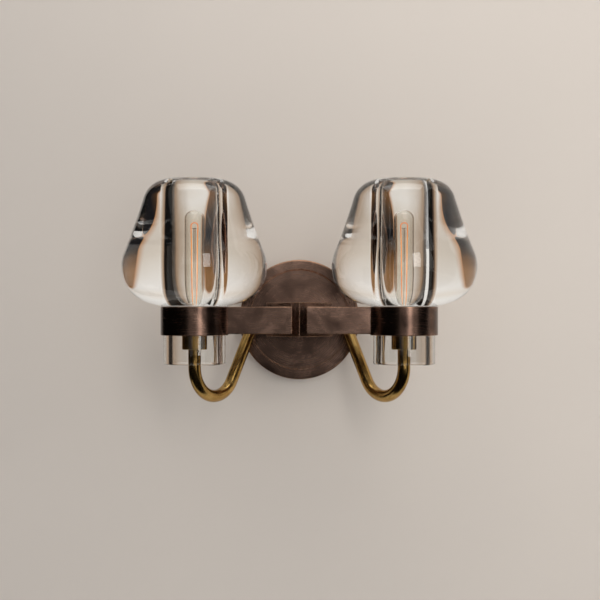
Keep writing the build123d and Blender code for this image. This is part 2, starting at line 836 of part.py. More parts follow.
def make_leads(side):
    """Two insulated leads from the lampholder's terminals, down the gooseneck, to their connectors."""
    routes = [lead_route(side, up) for up in (-1, 1)]
    with BuildPart() as leads:
        for route in routes:
            with BuildSketch(Plane(origin=route @ 0, z_dir=route % 0)) as lead_section:
                Circle(lead_radius)
            sweep(path=route)
    return leads.part


makers = {
    "arm": make_arm,
    "collar": make_collar,
    "shade_gasket": make_gasket,
    "glass_shade": make_shade,
    "gooseneck": make_gooseneck,
    "gooseneck_ferrule": make_ferrule,
    "nipple": make_nipple,
    "socket_cup": make_socket_cup,
    "lampholder": make_lampholder,
    "screw_shell": make_screw_shell,
    "centre_contact": make_centre_contact,
    "lamp_envelope": make_lamp_envelope,
    "lamp_cap": make_lamp_cap,
    "lamp_cap_insulator": make_cap_insulator,
    "lamp_cap_button": make_cap_button,
    "lamp_stem": make_lamp_stem,
    "lamp_filament": make_filament,
    "lamp_filament_anchor": make_filament_anchor,
    "leads": make_leads,
}

for hand, side in (("left", -1), ("right", 1)):
    for piece_name, maker in makers.items():
        write(maker(side), f"{hand}_{piece_name}")
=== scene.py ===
"""Finish of the double arm wall sconce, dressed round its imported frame.

Lengths are metres in the part's own frame: +X right along the arms, +Y into the wall, +Z up, with the
wall's face at y = 0. Sizes are written as millimetres times MM.
"""

import json
import logging
import math
from collections.abc import Callable, Sequence
from dataclasses import dataclass
from enum import Enum

import bmesh
import bpy
import numpy as np
from mathutils import Matrix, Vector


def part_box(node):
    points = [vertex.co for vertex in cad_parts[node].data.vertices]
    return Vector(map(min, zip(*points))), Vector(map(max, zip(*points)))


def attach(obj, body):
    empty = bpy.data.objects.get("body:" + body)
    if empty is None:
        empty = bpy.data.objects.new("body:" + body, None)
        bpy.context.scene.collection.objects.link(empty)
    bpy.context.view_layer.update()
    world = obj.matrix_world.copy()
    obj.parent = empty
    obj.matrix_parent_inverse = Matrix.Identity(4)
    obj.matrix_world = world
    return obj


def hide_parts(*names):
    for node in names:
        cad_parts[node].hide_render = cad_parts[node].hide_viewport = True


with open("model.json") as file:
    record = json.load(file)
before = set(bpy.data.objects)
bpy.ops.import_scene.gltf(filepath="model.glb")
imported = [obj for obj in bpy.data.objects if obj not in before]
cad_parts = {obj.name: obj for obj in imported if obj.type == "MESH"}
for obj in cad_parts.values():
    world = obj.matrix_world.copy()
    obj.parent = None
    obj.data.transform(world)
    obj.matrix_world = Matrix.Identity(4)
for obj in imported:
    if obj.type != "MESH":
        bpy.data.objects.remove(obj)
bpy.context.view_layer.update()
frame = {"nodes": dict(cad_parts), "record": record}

MM = 0.001
WELD = 0.001 * MM
UP = np.array([0, 0, 1.0])
INTO_WALL = np.array([0, 1.0, 0])
Triple = tuple[float, float, float]
Colour = Triple
Stops = Sequence[tuple[float, Colour]]
Corner = tuple[float, ...]  # (u, v) of a sharp corner, or (u, v, radius) of a rounded one
Array = np.ndarray
Pair = tuple[Array, Array]
Material = bpy.types.Material
Node = bpy.types.Node
Piece = bpy.types.Object
Port = bpy.types.NodeSocket
log = logging.getLogger("sconce")


# --- places and directions


class Side(Enum):
    """The two halves of the sconce, seen from the room."""

    LEFT = -1
    RIGHT = 1

    def of(self, thing: str) -> str:
        """This side's name for a frame node, a body or a piece."""
        return f"{self.name.lower()}_{thing}"


class Spindle(Enum):
    """What a turned piece turns about: its two cross directions and the direction along it."""

    UPRIGHT = ((1, 0, 0), (0, 1, 0), (0, 0, 1))
    INTO_WALL = ((0, 0, 1), (1, 0, 0), (0, 1, 0))


@dataclass(frozen=True)
class Extent:
    """Box of a frame node at rest."""

    low: Array
    high: Array

    @classmethod
    def of(cls, node: str) -> "Extent":
        """Reads a node's box from the frame."""
        low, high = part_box(node)
        return cls(np.array(low), np.array(high))

    @property
    def centre(self) -> Array:
        """Middle of the box."""
        return (self.low + self.high) / 2

    @property
    def size(self) -> Array:
        """Lengths of the box along X, Y and Z."""
        return self.high - self.low


def round_angles(count: int) -> Array:
    """Even angles of a full turn."""
    return np.arange(count) / count * math.tau


def unit(vector: Array) -> Array:
    """The vector at length 1."""
    return vector / np.linalg.norm(vector)


# --- outlines


GUARD_PER_RADIUS = 0.6
GUARD_PER_SIDE = 0.2


def box_section(
    inner: float, outer: float, low: float, high: float, blunts: Sequence[float]
) -> list[Corner]:
    """Section of a plain ring or disc, round from its inner low corner, with a radius for each corner."""
    places = ((inner, low), (outer, low), (outer, high), (inner, high))
    return [(*place, blunt) for place, blunt in zip(places, blunts)]


def soften(corners: Sequence[Corner], closed: bool = True, steps: int = 5) -> Pair:
    """Rounds an outline's corners.

    A rounded corner becomes an arc tangent to both its sides. The arc's centre lies on the bisector, the
    radius over the sine of half the corner's angle away; its points turn evenly from one tangent point to
    the other. A guard point past each tangent point keeps the shading of the sides flat.

    Args:
        corners: the outline's corners in order.
        closed: whether the last corner joins the first.
        steps: divisions of each arc.

    Returns:
        The points, (n, 2), and their wear, (n,): 1 on the arcs and 0 elsewhere.
    """
    places = np.array([corner[:2] for corner in corners])
    share = np.linspace(0, 1, steps + 1)[:, None]
    points, wear = [], []
    for index, corner in enumerate(corners):
        here, blunt = places[index], (*corner, 0)[2]
        loose_end = not closed and index in (0, len(corners) - 1)
        if loose_end or blunt == 0:
            points.append(here[None])
            wear.append([0.0])
            continue
        sides = places[[index - 1, (index + 1) % len(corners)]] - here
        lengths = np.linalg.norm(sides, axis=1)
        before, after = sides / lengths[:, None]
        half = math.acos(np.clip(before @ after, -1, 1)) / 2
        reach = blunt / math.tan(half)
        guard = min(GUARD_PER_RADIUS * blunt, GUARD_PER_SIDE * (lengths.min() - reach))
        centre = here + unit(before + after) * blunt / math.sin(half)
        start, end = here + before * reach - centre, here + after * reach - centre
        turn = math.pi - 2 * half
        bow = centre + (np.sin((1 - share) * turn) * start + np.sin(share * turn) * end) / math.sin(turn)
        points.append(np.vstack([here + before * (reach + guard), bow, here + after * (reach + guard)]))
        wear.append([0.0, *[1.0] * (steps + 1), 0.0])
    return np.vstack(points), np.concatenate(wear)


def bezier(handles: Sequence[Sequence[float]], count: int) -> Array:
    """Cubic curve of count points: its four handles blended by (1-t)^3, 3(1-t)^2 t, 3(1-t) t^2 and t^3."""
    t = np.linspace(0, 1, count)[:, None]
    first, second, third, fourth = np.array(handles, float)
    rising = (1 - t) ** 3 * first + 3 * (1 - t) ** 2 * t * second
    return rising + 3 * (1 - t) * t**2 * third + t**3 * fourth


def arc(start: Array, heading: Array, end: Array, count: int) -> Pair:
    """Circular arc that leaves a point along a unit heading and ends at another point.

    With v the chord and n the heading's left normal, the curvature is 2 (v.n) / (v.v) and the turn is
    twice the angle from heading to chord; the points are the start turned about the arc's centre.

    Returns:
        The points, (count, 2), and the heading at the end.
    """
    chord = end - start
    left = np.array([-heading[1], heading[0]])
    turn = 2 * math.atan2(chord @ left, chord @ heading)
    centre = start + left * (chord @ chord) / (2 * (chord @ left))
    angle = np.linspace(0, turn, count)[:, None]
    spoke = start - centre
    across = np.array([-spoke[1], spoke[0]])
    points = centre + np.cos(angle) * spoke + np.sin(angle) * across
    return points, math.cos(turn) * heading + math.sin(turn) * left


def two_arcs(
    start: Array, heading: Array, end: Array, end_heading: Array, lead: float, count: int
) -> Array:
    """Two arcs of count points, tangent to each other and to the unit headings at both ends.

    The handles h and lead h at the two ends have their tips lead h + h apart, which is a quadratic in h.

    Args:
        start, heading: first point and the direction there.
        end, end_heading: last point and the direction there.
        lead: the first handle over the second.
        count: points on each arc.

    Returns:
        Points, (2 count - 1, 2).
    """
    gap = end - start
    closing = 2 * lead * (heading @ end_heading - 1)
    half_linear = gap @ (lead * heading + end_heading)
    handle = (half_linear - math.sqrt(half_linear**2 - closing * (gap @ gap))) / closing
    joint = (start + lead * handle * heading + lead * (end - handle * end_heading)) / (1 + lead)
    first, middle_heading = arc(start, heading, joint, count)
    return np.vstack([first, arc(joint, middle_heading, end, count)[0][1:]])


def inset(outline: Array, distance: float) -> Array:
    """Moves a closed, counter-clockwise outline inwards.

    Each point goes along the sum of its two sides' inward normals, over one plus their dot product, so
    that both sides move by the distance.
    """
    run = np.roll(outline, -1, 0) - outline
    run /= np.linalg.norm(run, axis=1, keepdims=True)
    normal = np.stack([-run[:, 1], run[:, 0]], axis=1)
    before = np.roll(normal, 1, 0)
    spread = 1 + np.sum(before * normal, axis=1, keepdims=True)
    return outline + distance * (before + normal) / spread


# --- surfaces


def turned(
    profile: Array, foot: Array, spindle: Spindle = Spindle.UPRIGHT, columns: int = 128
) -> Pair:
    """Turns a profile about a spindle: foot + radius (cos a first + sin a second) + height along.

    Args:
        profile: radius and height of each row, (rows, 2).
        foot: point of the spindle at height 0.
        spindle: what it turns about.
        columns: points round the spindle.

    Returns:
        The surface's points, (rows, columns, 3), and its grain, whose third part runs round the piece.
    """
    first, second, along = np.array(spindle.value, float)
    angle = round_angles(columns)
    spokes = np.cos(angle)[:, None] * first + np.sin(angle)[:, None] * second
    radius, height = profile[:, :1], profile[:, 1:]
    points = foot + radius[..., None] * spokes + height[..., None] * along
    around = radius.mean() * np.cos(angle)
    return points, np.stack(np.broadcast_arrays(radius, height, around[None]), axis=-1)


class Route:
    """A line of straight runs and bends, with a cross frame that is carried along it without twist."""

    def __init__(self, start: Array, heading: Array, across: Array) -> None:
        """Begins at a point, with a unit heading and a unit cross direction."""
        self.heading = heading
        self.stations = np.array([[start, across, np.cross(heading, across)]], float)
        self.runs = np.zeros(1)

    def _go(self, stations: Array, gone: Array) -> None:
        """Adds stations, each a place and its two cross directions, and the lengths gone to them."""
        self.stations = np.concatenate([self.stations, stations])
        self.runs = np.concatenate([self.runs, self.runs[-1] + gone])

    def straight(self, length: float, steps: int) -> None:
        """Goes straight on: the place shifts by the heading times the length gone, the frame stays."""
        gone = np.linspace(0, length, steps + 1)[1:]
        stations = np.repeat(self.stations[-1:], steps, 0)
        stations[:, 0] += gone[:, None] * self.heading
        self._go(stations, gone)

    def bend(self, towards: Array, radius: float, turn: float, steps: int) -> None:
        """Goes round an arc.

        Place, heading and frame turn about the bend's axis k, the heading crossed with the direction of
        the centre: v cos a + (k x v) sin a + k (k.v) (1 - cos a).

        Args:
            towards: unit direction from the line to the arc's centre, square to the heading.
            radius: the arc's radius.
            turn: the angle turned.
            steps: divisions of the arc.
        """
        axis = np.cross(self.heading, towards)
        angle = np.linspace(0, turn, steps + 1)[1:, None, None]
        centre = self.stations[-1, 0] + radius * towards
        vectors = np.vstack([self.stations[-1], self.heading])
        vectors[0] -= centre
        level = (vectors @ axis)[:, None] * axis
        cosine, sine = np.cos(angle), np.sin(angle)
        swung = vectors * cosine + np.cross(axis, vectors) * sine + level * (1 - cosine)
        swung[:, 0] += centre
        self.heading = swung[-1, 3]
        self._go(swung[:, :3], radius * angle.ravel())

    def tube(self, radius: float | Array, columns: int) -> Pair:
        """Carries a circle along the line: place + radius (cos a across + sin a second).

        Args:
            radius: one radius, or one for each station.
            columns: points round the tube.

        Returns:
            Points, (stations, columns, 3), and grain, the same tube pulled straight.
        """
        angle = round_angles(columns)
        places, across, second = self.stations[:, :, None].swapaxes(0, 1)
        spoke = np.cos(angle)[:, None] * across + np.sin(angle)[:, None] * second
        radii = np.broadcast_to(radius, len(places))[:, None]
        flat = (radii * np.cos(angle), radii * np.sin(angle), self.runs[:, None])
        return places + radii[..., None] * spoke, np.stack(np.broadcast_arrays(*flat), axis=-1)


class Skin:
    """Gathers the grids of one piece and makes them a mesh."""

    def __init__(self) -> None:
        """Starts with no points."""
        self.points: list[Array] = []
        self.grain: list[Array] = []
        self.wear: list[Array] = []
        self.faces: list[list[int]] = []
        self.caps: list[list[int]] = []
        self.count = 0

    def _grid(self, points: Array, grain: Array, wear: float | Array, ring: bool) -> Array:
        """Adds quads whose columns close on themselves, and in a ring the rows too.

        Args:
            points: (rows, columns, 3).
            grain: brush coordinates, (rows, columns, 3).
            wear: how worn each row or each point is, 0 to 1.
            ring: whether the last row also joins the first.

        Returns:
            Index of each point, (rows, columns).
        """
        rows, columns = points.shape[:2]
        index = self.count + np.arange(rows * columns).reshape(rows, columns)
        wrapped = np.hstack([index, index[:, :1]])
        if ring:
            wrapped = np.vstack([wrapped, wrapped[:1]])
        corners = (wrapped[:-1, :-1], wrapped[:-1, 1:], wrapped[1:, 1:], wrapped[1:, :-1])
        self.faces += np.stack(corners, axis=-1).reshape(-1, 4).tolist()
        self.points.append(points.reshape(-1, 3))
        self.grain.append(grain.reshape(-1, 3))
        worn = wear if np.ndim(wear) == 2 else np.broadcast_to(wear, rows)[:, None]
        self.wear.append(np.broadcast_to(worn, (rows, columns)).ravel())
        self.count += rows * columns
        return index

    def ring(self, points: Array, grain: Array, wear: float | Array = 0.0) -> "Skin":
        """Adds a grid that closes on itself both ways."""
        self._grid(points, grain, wear, ring=True)
        return self

    def rod(self, points: Array, grain: Array, wear: float | Array = 0.0) -> "Skin":
        """Adds a grid whose first and last row are each closed with one face."""
        index = self._grid(points, grain, wear, ring=False)
        self.caps += [index[0][::-1].tolist(), index[-1].tolist()]
        return self

    def mesh(self, name: str) -> Piece:
        """Makes the object: poles welded, faces outwards, smooth, with its grain and wear attributes."""
        mesh = bpy.data.meshes.new(name)
        mesh.from_pydata(np.concatenate(self.points).tolist(), [], self.faces + self.caps)
        grain = mesh.attributes.new("grain", "FLOAT_VECTOR", "POINT")
        grain.data.foreach_set("vector", np.concatenate(self.grain).astype(np.float32).ravel())
        wear = mesh.attributes.new("wear", "FLOAT", "POINT")
        wear.data.foreach_set("value", np.concatenate(self.wear).astype(np.float32))
        shell = bmesh.new()
        shell.from_mesh(mesh)
        bmesh.ops.remove_doubles(shell, verts=shell.verts, dist=WELD)
        bmesh.ops.recalc_face_normals(shell, faces=shell.faces)
        if shell.calc_volume(signed=True) < 0:
            bmesh.ops.reverse_faces(shell, faces=shell.faces)
        shell.to_mesh(mesh)
        shell.free()
        mesh.polygons.foreach_set("use_smooth", np.ones(len(mesh.polygons), bool))
        return put(bpy.data.objects.new(name, mesh))


def put(thing: Piece) -> Piece:
    """Puts an object into the scene."""
    bpy.context.scene.collection.objects.link(thing)
    return thing


def lathe(
    corners: Sequence[Corner],
    foot: Array,
    spindle: Spindle = Spindle.UPRIGHT,
    columns: int = 96,
    steps: int = 5,
) -> Skin:
    """Turns a closed outline of radius and height about a spindle into a solid ring or disc.

    Args:
        corners: the outline, as radius and height from the foot.
        foot: point of the spindle at height 0.
        spindle: what it turns about.
        columns: points round the spindle.
        steps: divisions of each rounded corner.

    Returns:
        The skin with its one closed grid.
    """
    profile, wear = soften(corners, steps=steps)
    return Skin().ring(*turned(profile, foot, spindle, columns), wear)


SLAB_GUARDS = (2.2, 1.8)
SLAB_STEPS = 4
RIM_RUB = 0.8


def slab(outline: Array, rim_wear: Array, low: float, high: float, edge: float) -> Skin:
    """Upright slab over a plan outline, with rounded top and bottom edges and guard rows beside them.

    Rows climb from the bottom face to the top face. In each edge, at angle a from the flat, the outline is
    inset by edge (1 - sin a) and stands edge (1 - cos a) from the face.

    Args:
        outline: closed counter-clockwise plan, (n, 2).
        rim_wear: wear of each plan point, (n,).
        low: bottom level.
        high: top level.
        edge: radius of the edges.

    Returns:
        The skin, with its brush lines along the plan's first axis.
    """
    angle = np.linspace(0, math.pi / 2, SLAB_STEPS + 1)
    inwards, upwards = SLAB_GUARDS
    insets = edge * np.concatenate([[inwards], 1 - np.sin(angle), [0]])
    rises = edge * np.concatenate([[0], 1 - np.cos(angle), [upwards]])
    edge_wear = np.concatenate([[0], np.ones(SLAB_STEPS + 1), [0]])
    levels = np.concatenate([low + rises, (high - rises)[::-1]])
    worn = np.concatenate([edge_wear, edge_wear[::-1]])
    loops = np.stack([inset(outline, step) for step in np.concatenate([insets, insets[::-1]])])
    heights = np.broadcast_to(levels[:, None, None], (*loops.shape[:2], 1))
    points = np.concatenate([loops, heights], axis=-1)
    return Skin().rod(points, points[..., [1, 2, 0]], np.maximum(worn[:, None], RIM_RUB * rim_wear[None]))


# --- node sheets


def operation(name: str, swapped: bool = False) -> Callable[["Signal", "Signal | float"], "Signal"]:
    """Makes a Signal method that adds one Math node on the signal and another term, or swapped."""

    def method(self: "Signal", other: "Signal | float") -> "Signal":
        """Adds the node and wraps its output."""
        node = self.tree.nodes.new("ShaderNodeMath")
        node.operation = name
        for socket, term in zip(node.inputs, (other, self) if swapped else (self, other)):
            if isinstance(term, Signal):
                self.tree.links.new(term.socket, socket)
            else:
                socket.default_value = term
        return Signal(self.tree, node.outputs[0])

    return method


class Signal:
    """A number socket in a node tree; each operator used on it adds one Math node.

    above() gives 1 over an edge and 0 elsewhere, at_most() the smaller and at_least() the larger number.
    """

    def __init__(self, tree: bpy.types.NodeTree, socket: Port) -> None:
        """Wraps an output socket."""
        self.tree = tree
        self.socket = socket

    __add__ = __radd__ = operation("ADD")
    __mul__ = __rmul__ = operation("MULTIPLY")
    __sub__ = operation("SUBTRACT")
    __rsub__ = operation("SUBTRACT", swapped=True)
    __pow__ = operation("POWER")
    above = operation("GREATER_THAN")
    at_most = operation("MINIMUM")
    at_least = operation("MAXIMUM")


class Recipe:
    """The node tree of one material or world."""

    def __init__(self, owner: Material | bpy.types.World) -> None:
        """Empties the owner's tree."""
        owner.use_nodes = True
        self.owner = owner
        self.tree = owner.node_tree
        self.tree.nodes.clear()

    def add(self, kind: str, settings: dict | None = None, inputs: dict | None = None) -> Node:
        """Adds a node.

        Args:
            kind: the node's type, without its first words.
            settings: its properties, set first; "stops" gives a colour ramp's (position, colour) pairs.
            inputs: by socket name or number, a value, a socket, a node's first output or a Signal.

        Returns:
            The node.
        """
        node = self.tree.nodes.new(f"ShaderNode{kind}")
        for name, value in (settings or {}).items():
            if name == "stops":
                self._set_stops(node.color_ramp, value)
            else:
                setattr(node, name, value)
        for key, value in (inputs or {}).items():
            if isinstance(value, Signal):
                value = value.socket
            elif isinstance(value, Node):
                value = value.outputs[0]
            if isinstance(value, Port):
                self.tree.links.new(value, node.inputs[key])
            elif isinstance(value, tuple) and node.inputs[key].type == "RGBA":
                node.inputs[key].default_value = (*value, 1.0)
            else:
                node.inputs[key].default_value = value
        return node

    @staticmethod
    def _set_stops(ramp: bpy.types.ColorRamp, stops: Stops) -> None:
        """Fills a ramp that starts with two stops."""
        for _ in stops[2:]:
            ramp.elements.new(0.5)
        for element, (position, colour) in zip(ramp.elements, stops):
            element.position = position
            element.color = (*colour, 1.0)

    def signals(self, node: Node, *outputs: str) -> list[Signal]:
        """Wraps outputs of a node."""
        return [Signal(self.tree, node.outputs[output]) for output in outputs]

    def place(self) -> Port:
        """Object coordinates, which are metres in the part's frame."""
        return self.add("TexCoord").outputs["Object"]

    def place_parts(self, *parts: str) -> list[Signal]:
        """Single object coordinates."""
        return self.signals(self.add("SeparateXYZ", None, {"Vector": self.place()}), *parts)

    def attribute(self, name: str) -> Node:
        """The piece's brush coordinates, "grain", or its edge wear, "wear"."""
        return self.add("Attribute", {"attribute_name": name})

    def stretched(self, vector: Port, rise: float) -> Port:
        """A vector with its third part multiplied."""
        inputs = {0: vector, 1: (1, 1, rise)}
        return self.add("VectorMath", {"operation": "MULTIPLY"}, inputs).outputs[0]

    def noise(self, vector: Port, scale: float, detail: float, warp: float = 0) -> Signal:
        """Soft noise between 0 and 1 on a vector."""
        inputs = {"Vector": vector, "Scale": scale, "Detail": detail, "Roughness": 0.55, "Distortion": warp}
        return self.signals(self.add("TexNoise", None, inputs), "Fac")[0]

    def ramp(self, factor: Signal, stops: Stops) -> Port:
        """Colour that a number picks from a ramp."""
        return self.add("ValToRGB", {"stops": stops}, {"Fac": factor}).outputs["Color"]

    def tint(self, factor: Signal, first: Port, second: Colour) -> Port:
        """Mixes two colours."""
        settings = {"data_type": "RGBA", "clamp_factor": True}
        return self.add("Mix", settings, {0: factor, 6: first, 7: second}).outputs[2]

    def bump(self, height: Signal, depth: float) -> Port:
        """Normal of a relief, its depth in metres."""
        return self.add("Bump", None, {"Height": height, "Distance": depth, "Strength": 1.0}).outputs[0]

    def blend(self, factor: Signal, first: Node, second: Node) -> Node:
        """Mixes two shaders."""
        return self.add("MixShader", None, {0: factor, 1: first, 2: second})

    def end(self, shader: Node, kind: str = "OutputMaterial") -> Material | bpy.types.World:
        """Ends the tree with a shader and hands back its owner."""
        self.add(kind, None, {"Surface": shader})
        return self.owner

    def shade(self, inputs: dict) -> Material:
        """Ends the tree with a Principled shader."""
        return self.end(self.add("BsdfPrincipled", None, inputs))


# --- finishes


@dataclass(frozen=True)
class Finish:
    """A finish, made a material once and shared."""

    name: str
    slot: str

    def material(self) -> Material:
        """The finish's material, made on first use."""
        label = f"finish_{self.name}"
        found = bpy.data.materials.get(label)
        if found is None:
            found = bpy.data.materials.new(label)
            self.mix(Recipe(found))
        return found

    def mix(self, recipe: Recipe) -> None:
        """Builds the node tree."""
        raise NotImplementedError


@dataclass(frozen=True)
class BrushedMetal(Finish):
    """Metal with fine brush lines, cloudy patina, and rubbed edges where the piece has them.

    The brush lines are noise on the piece's grain, drawn out along its third part; the patina is slow
    noise on the place. Both move the colour along a ramp and the roughness a little.
    """

    deep: Colour
    plain: Colour
    bright: Colour
    rubbed: Colour
    roughness: float
    cloud_size: float = 30 * MM
    line_width: float = 0.35 * MM
    line_length: float = 14 * MM
    line_depth: float = 0.006 * MM
    line_share: float = 0.35
    least_rub: float = 0.15
    cloud_rub: float = 0.9
    line_polish: float = 0.12
    cloud_polish: float = 0.16

    def mix(self, recipe: Recipe) -> None:
        """Builds the node tree."""
        grain = recipe.attribute("grain").outputs["Vector"]
        drawn = recipe.stretched(grain, self.line_width / self.line_length)
        lines = recipe.noise(drawn, 1 / self.line_width, detail=2)
        clouds = recipe.noise(recipe.place(), 1 / self.cloud_size, detail=4, warp=0.6)
        tone = clouds * (1 - self.line_share) + lines * self.line_share
        stops = [(0.3, self.deep), (0.5, self.plain), (0.7, self.bright)]
        (wear,) = recipe.signals(recipe.attribute("wear"), "Fac")
        rub = wear * (self.least_rub + self.cloud_rub * clouds)
        polish = (lines - 0.5) * self.line_polish + (clouds - 0.5) * self.cloud_polish
        recipe.shade(
            {
                "Base Color": recipe.tint(rub, recipe.ramp(tone, stops), self.rubbed),
                "Metallic": 1.0,
                "Roughness": polish + self.roughness,
                "Normal": recipe.bump(lines, self.line_depth),
            }
        )


@dataclass(frozen=True)
class PlatedMetal(Finish):
    """Plated or painted metal of the hidden pieces: crystalline blotches over a fine tooth."""

    dull: Colour
    lively: Colour
    roughness: float = 0.38
    metallic: float = 1.0
    blotch_size: float = 2.5 * MM
    tooth_size: float = 0.4 * MM
    tooth_depth: float = 0.01 * MM

    def mix(self, recipe: Recipe) -> None:
        """Builds the node tree."""
        inputs = {"Vector": recipe.place(), "Scale": 1 / self.blotch_size, "Randomness": 1.0}
        (cells,) = recipe.signals(recipe.add("TexVoronoi", {"feature": "F1"}, inputs), "Distance")
        tooth = recipe.noise(recipe.place(), 1 / self.tooth_size, detail=2)
        tone = (cells * 0.6 + tooth * 0.5).at_most(1.0)
        recipe.shade(
            {
                "Base Color": recipe.ramp(tone, [(0.15, self.dull), (0.85, self.lively)]),
                "Metallic": self.metallic,
                "Roughness": (tone - 0.5) * 0.2 + self.roughness,
                "Normal": recipe.bump(tooth, self.tooth_depth),
            }
        )


@dataclass(frozen=True)
class ClearGlass(Finish):
    """Clear glass whose faint ripples bend what is seen through it.

    The ripples are slow noise on the place, drawn out upwards as the glass flowed.
    """

    tint: Colour
    smoke: float = 0.985
    ripple_size: float = 12 * MM
    ripple_depth: float = 0.02 * MM
    flow: float = 0.3

    def mix(self, recipe: Recipe) -> None:
        """Builds the node tree."""
        ripple = recipe.noise(recipe.stretched(recipe.place(), self.flow), 1 / self.ripple_size, detail=2)
        haze = recipe.noise(recipe.place(), 1 / (3 * self.ripple_size), detail=3)
        smoky = tuple(self.smoke * part for part in self.tint)
        recipe.shade(
            {
                "Base Color": recipe.ramp(haze, [(0.35, smoky), (0.65, self.tint)]),
                "Roughness": (haze - 0.5) * 0.01,
                "IOR": 1.5,
                "Transmission Weight": 1.0,
                "Normal": recipe.bump(ripple, self.ripple_depth),
            }
        )


@dataclass(frozen=True)
class GlowingWire(Finish):
    """Carbon filament at work: deep orange at its feet and head, yellower where it is hottest."""

    cool: Colour
    hot: Colour
    strength: float
    low: float
    high: float
    soot: Stops = ((0.3, (0.02, 0.015, 0.01)), (0.7, (0.06, 0.04, 0.03)))

    def mix(self, recipe: Recipe) -> None:
        """Builds the node tree; heat rises with the height between the two levels."""
        (height,) = recipe.place_parts("Z")
        rise = (height - self.low) * (1 / (self.high - self.low))
        flicker = recipe.noise(recipe.place(), 1 / (1.5 * MM), detail=1)
        heat = rise * 0.7 + flicker * 0.3
        recipe.shade(
            {
                "Base Color": recipe.ramp(flicker, self.soot),
                "Roughness": 0.6,
                "Emission Color": recipe.ramp(heat, [(0.1, self.cool), (0.6, self.hot), (1.0, self.cool)]),
                "Emission Strength": self.strength,
            }
        )


@dataclass(frozen=True)
class Moulded(Finish):
    """Moulded or extruded stuff: a faint cloud in its colour over a fine skin."""

    dark: Colour
    light: Colour
    roughness: float = 0.5
    clear: float = 0.0
    cloud_size: float = 6 * MM
    skin_size: float = 0.6 * MM
    skin_depth: float = 0.01 * MM

    def mix(self, recipe: Recipe) -> None:
        """Builds the node tree."""
        cloud = recipe.noise(recipe.place(), 1 / self.cloud_size, detail=3)
        skin = recipe.noise(recipe.place(), 1 / self.skin_size, detail=2)
        recipe.shade(
            {
                "Base Color": recipe.ramp(cloud, [(0.3, self.dark), (0.7, self.light)]),
                "Roughness": (skin - 0.5) * 0.15 + self.roughness,
                "Transmission Weight": self.clear,
                "Normal": recipe.bump(skin, self.skin_depth),
            }
        )


BRONZE = BrushedMetal(
    "oil_rubbed_bronze",
    "dark_bronze",
    deep=(0.060, 0.037, 0.029),
    plain=(0.165, 0.103, 0.079),
    bright=(0.27, 0.170, 0.130),
    rubbed=(0.38, 0.22, 0.14),
    roughness=0.26,
    line_depth=0.003 * MM,
    line_share=0.10,
)
BRASS = BrushedMetal(
    "antique_brass",
    "antique_brass",
    deep=(0.20, 0.11, 0.030),
    plain=(0.46, 0.285, 0.09),
    bright=(0.68, 0.45, 0.17),
    rubbed=(0.80, 0.58, 0.28),
    roughness=0.20,
    cloud_size=16 * MM,
)
BRIGHT_BRASS = BrushedMetal(
    "stamped_brass",
    "bright_brass",
    deep=(0.55, 0.38, 0.14),
    plain=(0.72, 0.52, 0.22),
    bright=(0.83, 0.64, 0.33),
    rubbed=(0.9, 0.75, 0.45),
    roughness=0.25,
)
STEEL = PlatedMetal("zinc_plate", "plated_steel", (0.34, 0.34, 0.33), (0.66, 0.66, 0.62))
EARTH = PlatedMetal("green_passivate", "earth_green", (0.02, 0.14, 0.05), (0.07, 0.32, 0.14), metallic=0.7)
SOLDER = PlatedMetal("solder", "solder", (0.4, 0.4, 0.4), (0.72, 0.71, 0.7), roughness=0.3)
SUPPORT = PlatedMetal("drawn_wire", "support_wire", (0.3, 0.28, 0.26), (0.6, 0.57, 0.52))
CRYSTAL = ClearGlass("crystal", "clear_glass", tint=(0.985, 0.975, 0.955))
LAMP_GLASS = ClearGlass(
    "lamp_glass", "lamp_glass", tint=(0.99, 0.975, 0.94), ripple_size=5 * MM, ripple_depth=0.008 * MM
)
SILICONE = Moulded("silicone", "clear_silicone", (0.62, 0.61, 0.58), (0.8, 0.79, 0.76), clear=0.5)
PHENOLIC = Moulded("phenolic", "holder_phenolic", (0.012, 0.011, 0.010), (0.035, 0.032, 0.03), 0.35)
ORANGE = Moulded("connector_moulding", "connector_plastic", (0.55, 0.17, 0.02), (0.72, 0.26, 0.05), 0.42)
INSULATION = Moulded("lead_insulation", "lead_insulation", (0.015, 0.015, 0.016), (0.05, 0.05, 0.05), 0.45)
VITRITE = Moulded("vitrite", "black_vitrite", (0.006, 0.006, 0.009), (0.02, 0.02, 0.028), 0.12)
HIDDEN_METALS = (BRONZE, BRASS, BRIGHT_BRASS, STEEL, EARTH, SOLDER, SUPPORT)
HIDDEN_FINISHES = (*HIDDEN_METALS, SILICONE, PHENOLIC, ORANGE, INSULATION)


def fit(piece: Piece, finish: Finish, body: str, *nodes: str) -> None:
    """Gives a made piece its finish and its place in the frame.

    Args:
        piece: the made object.
        finish: its finish.
        body: the body that it rides on.
        nodes: the frame nodes that it stands for.
    """
    piece.data.materials.append(finish.material())
    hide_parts(*nodes)
    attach(piece, body)
    piece.visible_shadow = not isinstance(finish, ClearGlass)
    log.info("%s rides on %s in %s, %d faces", piece.name, body, finish.name, len(piece.data.polygons))


# --- bronze pieces


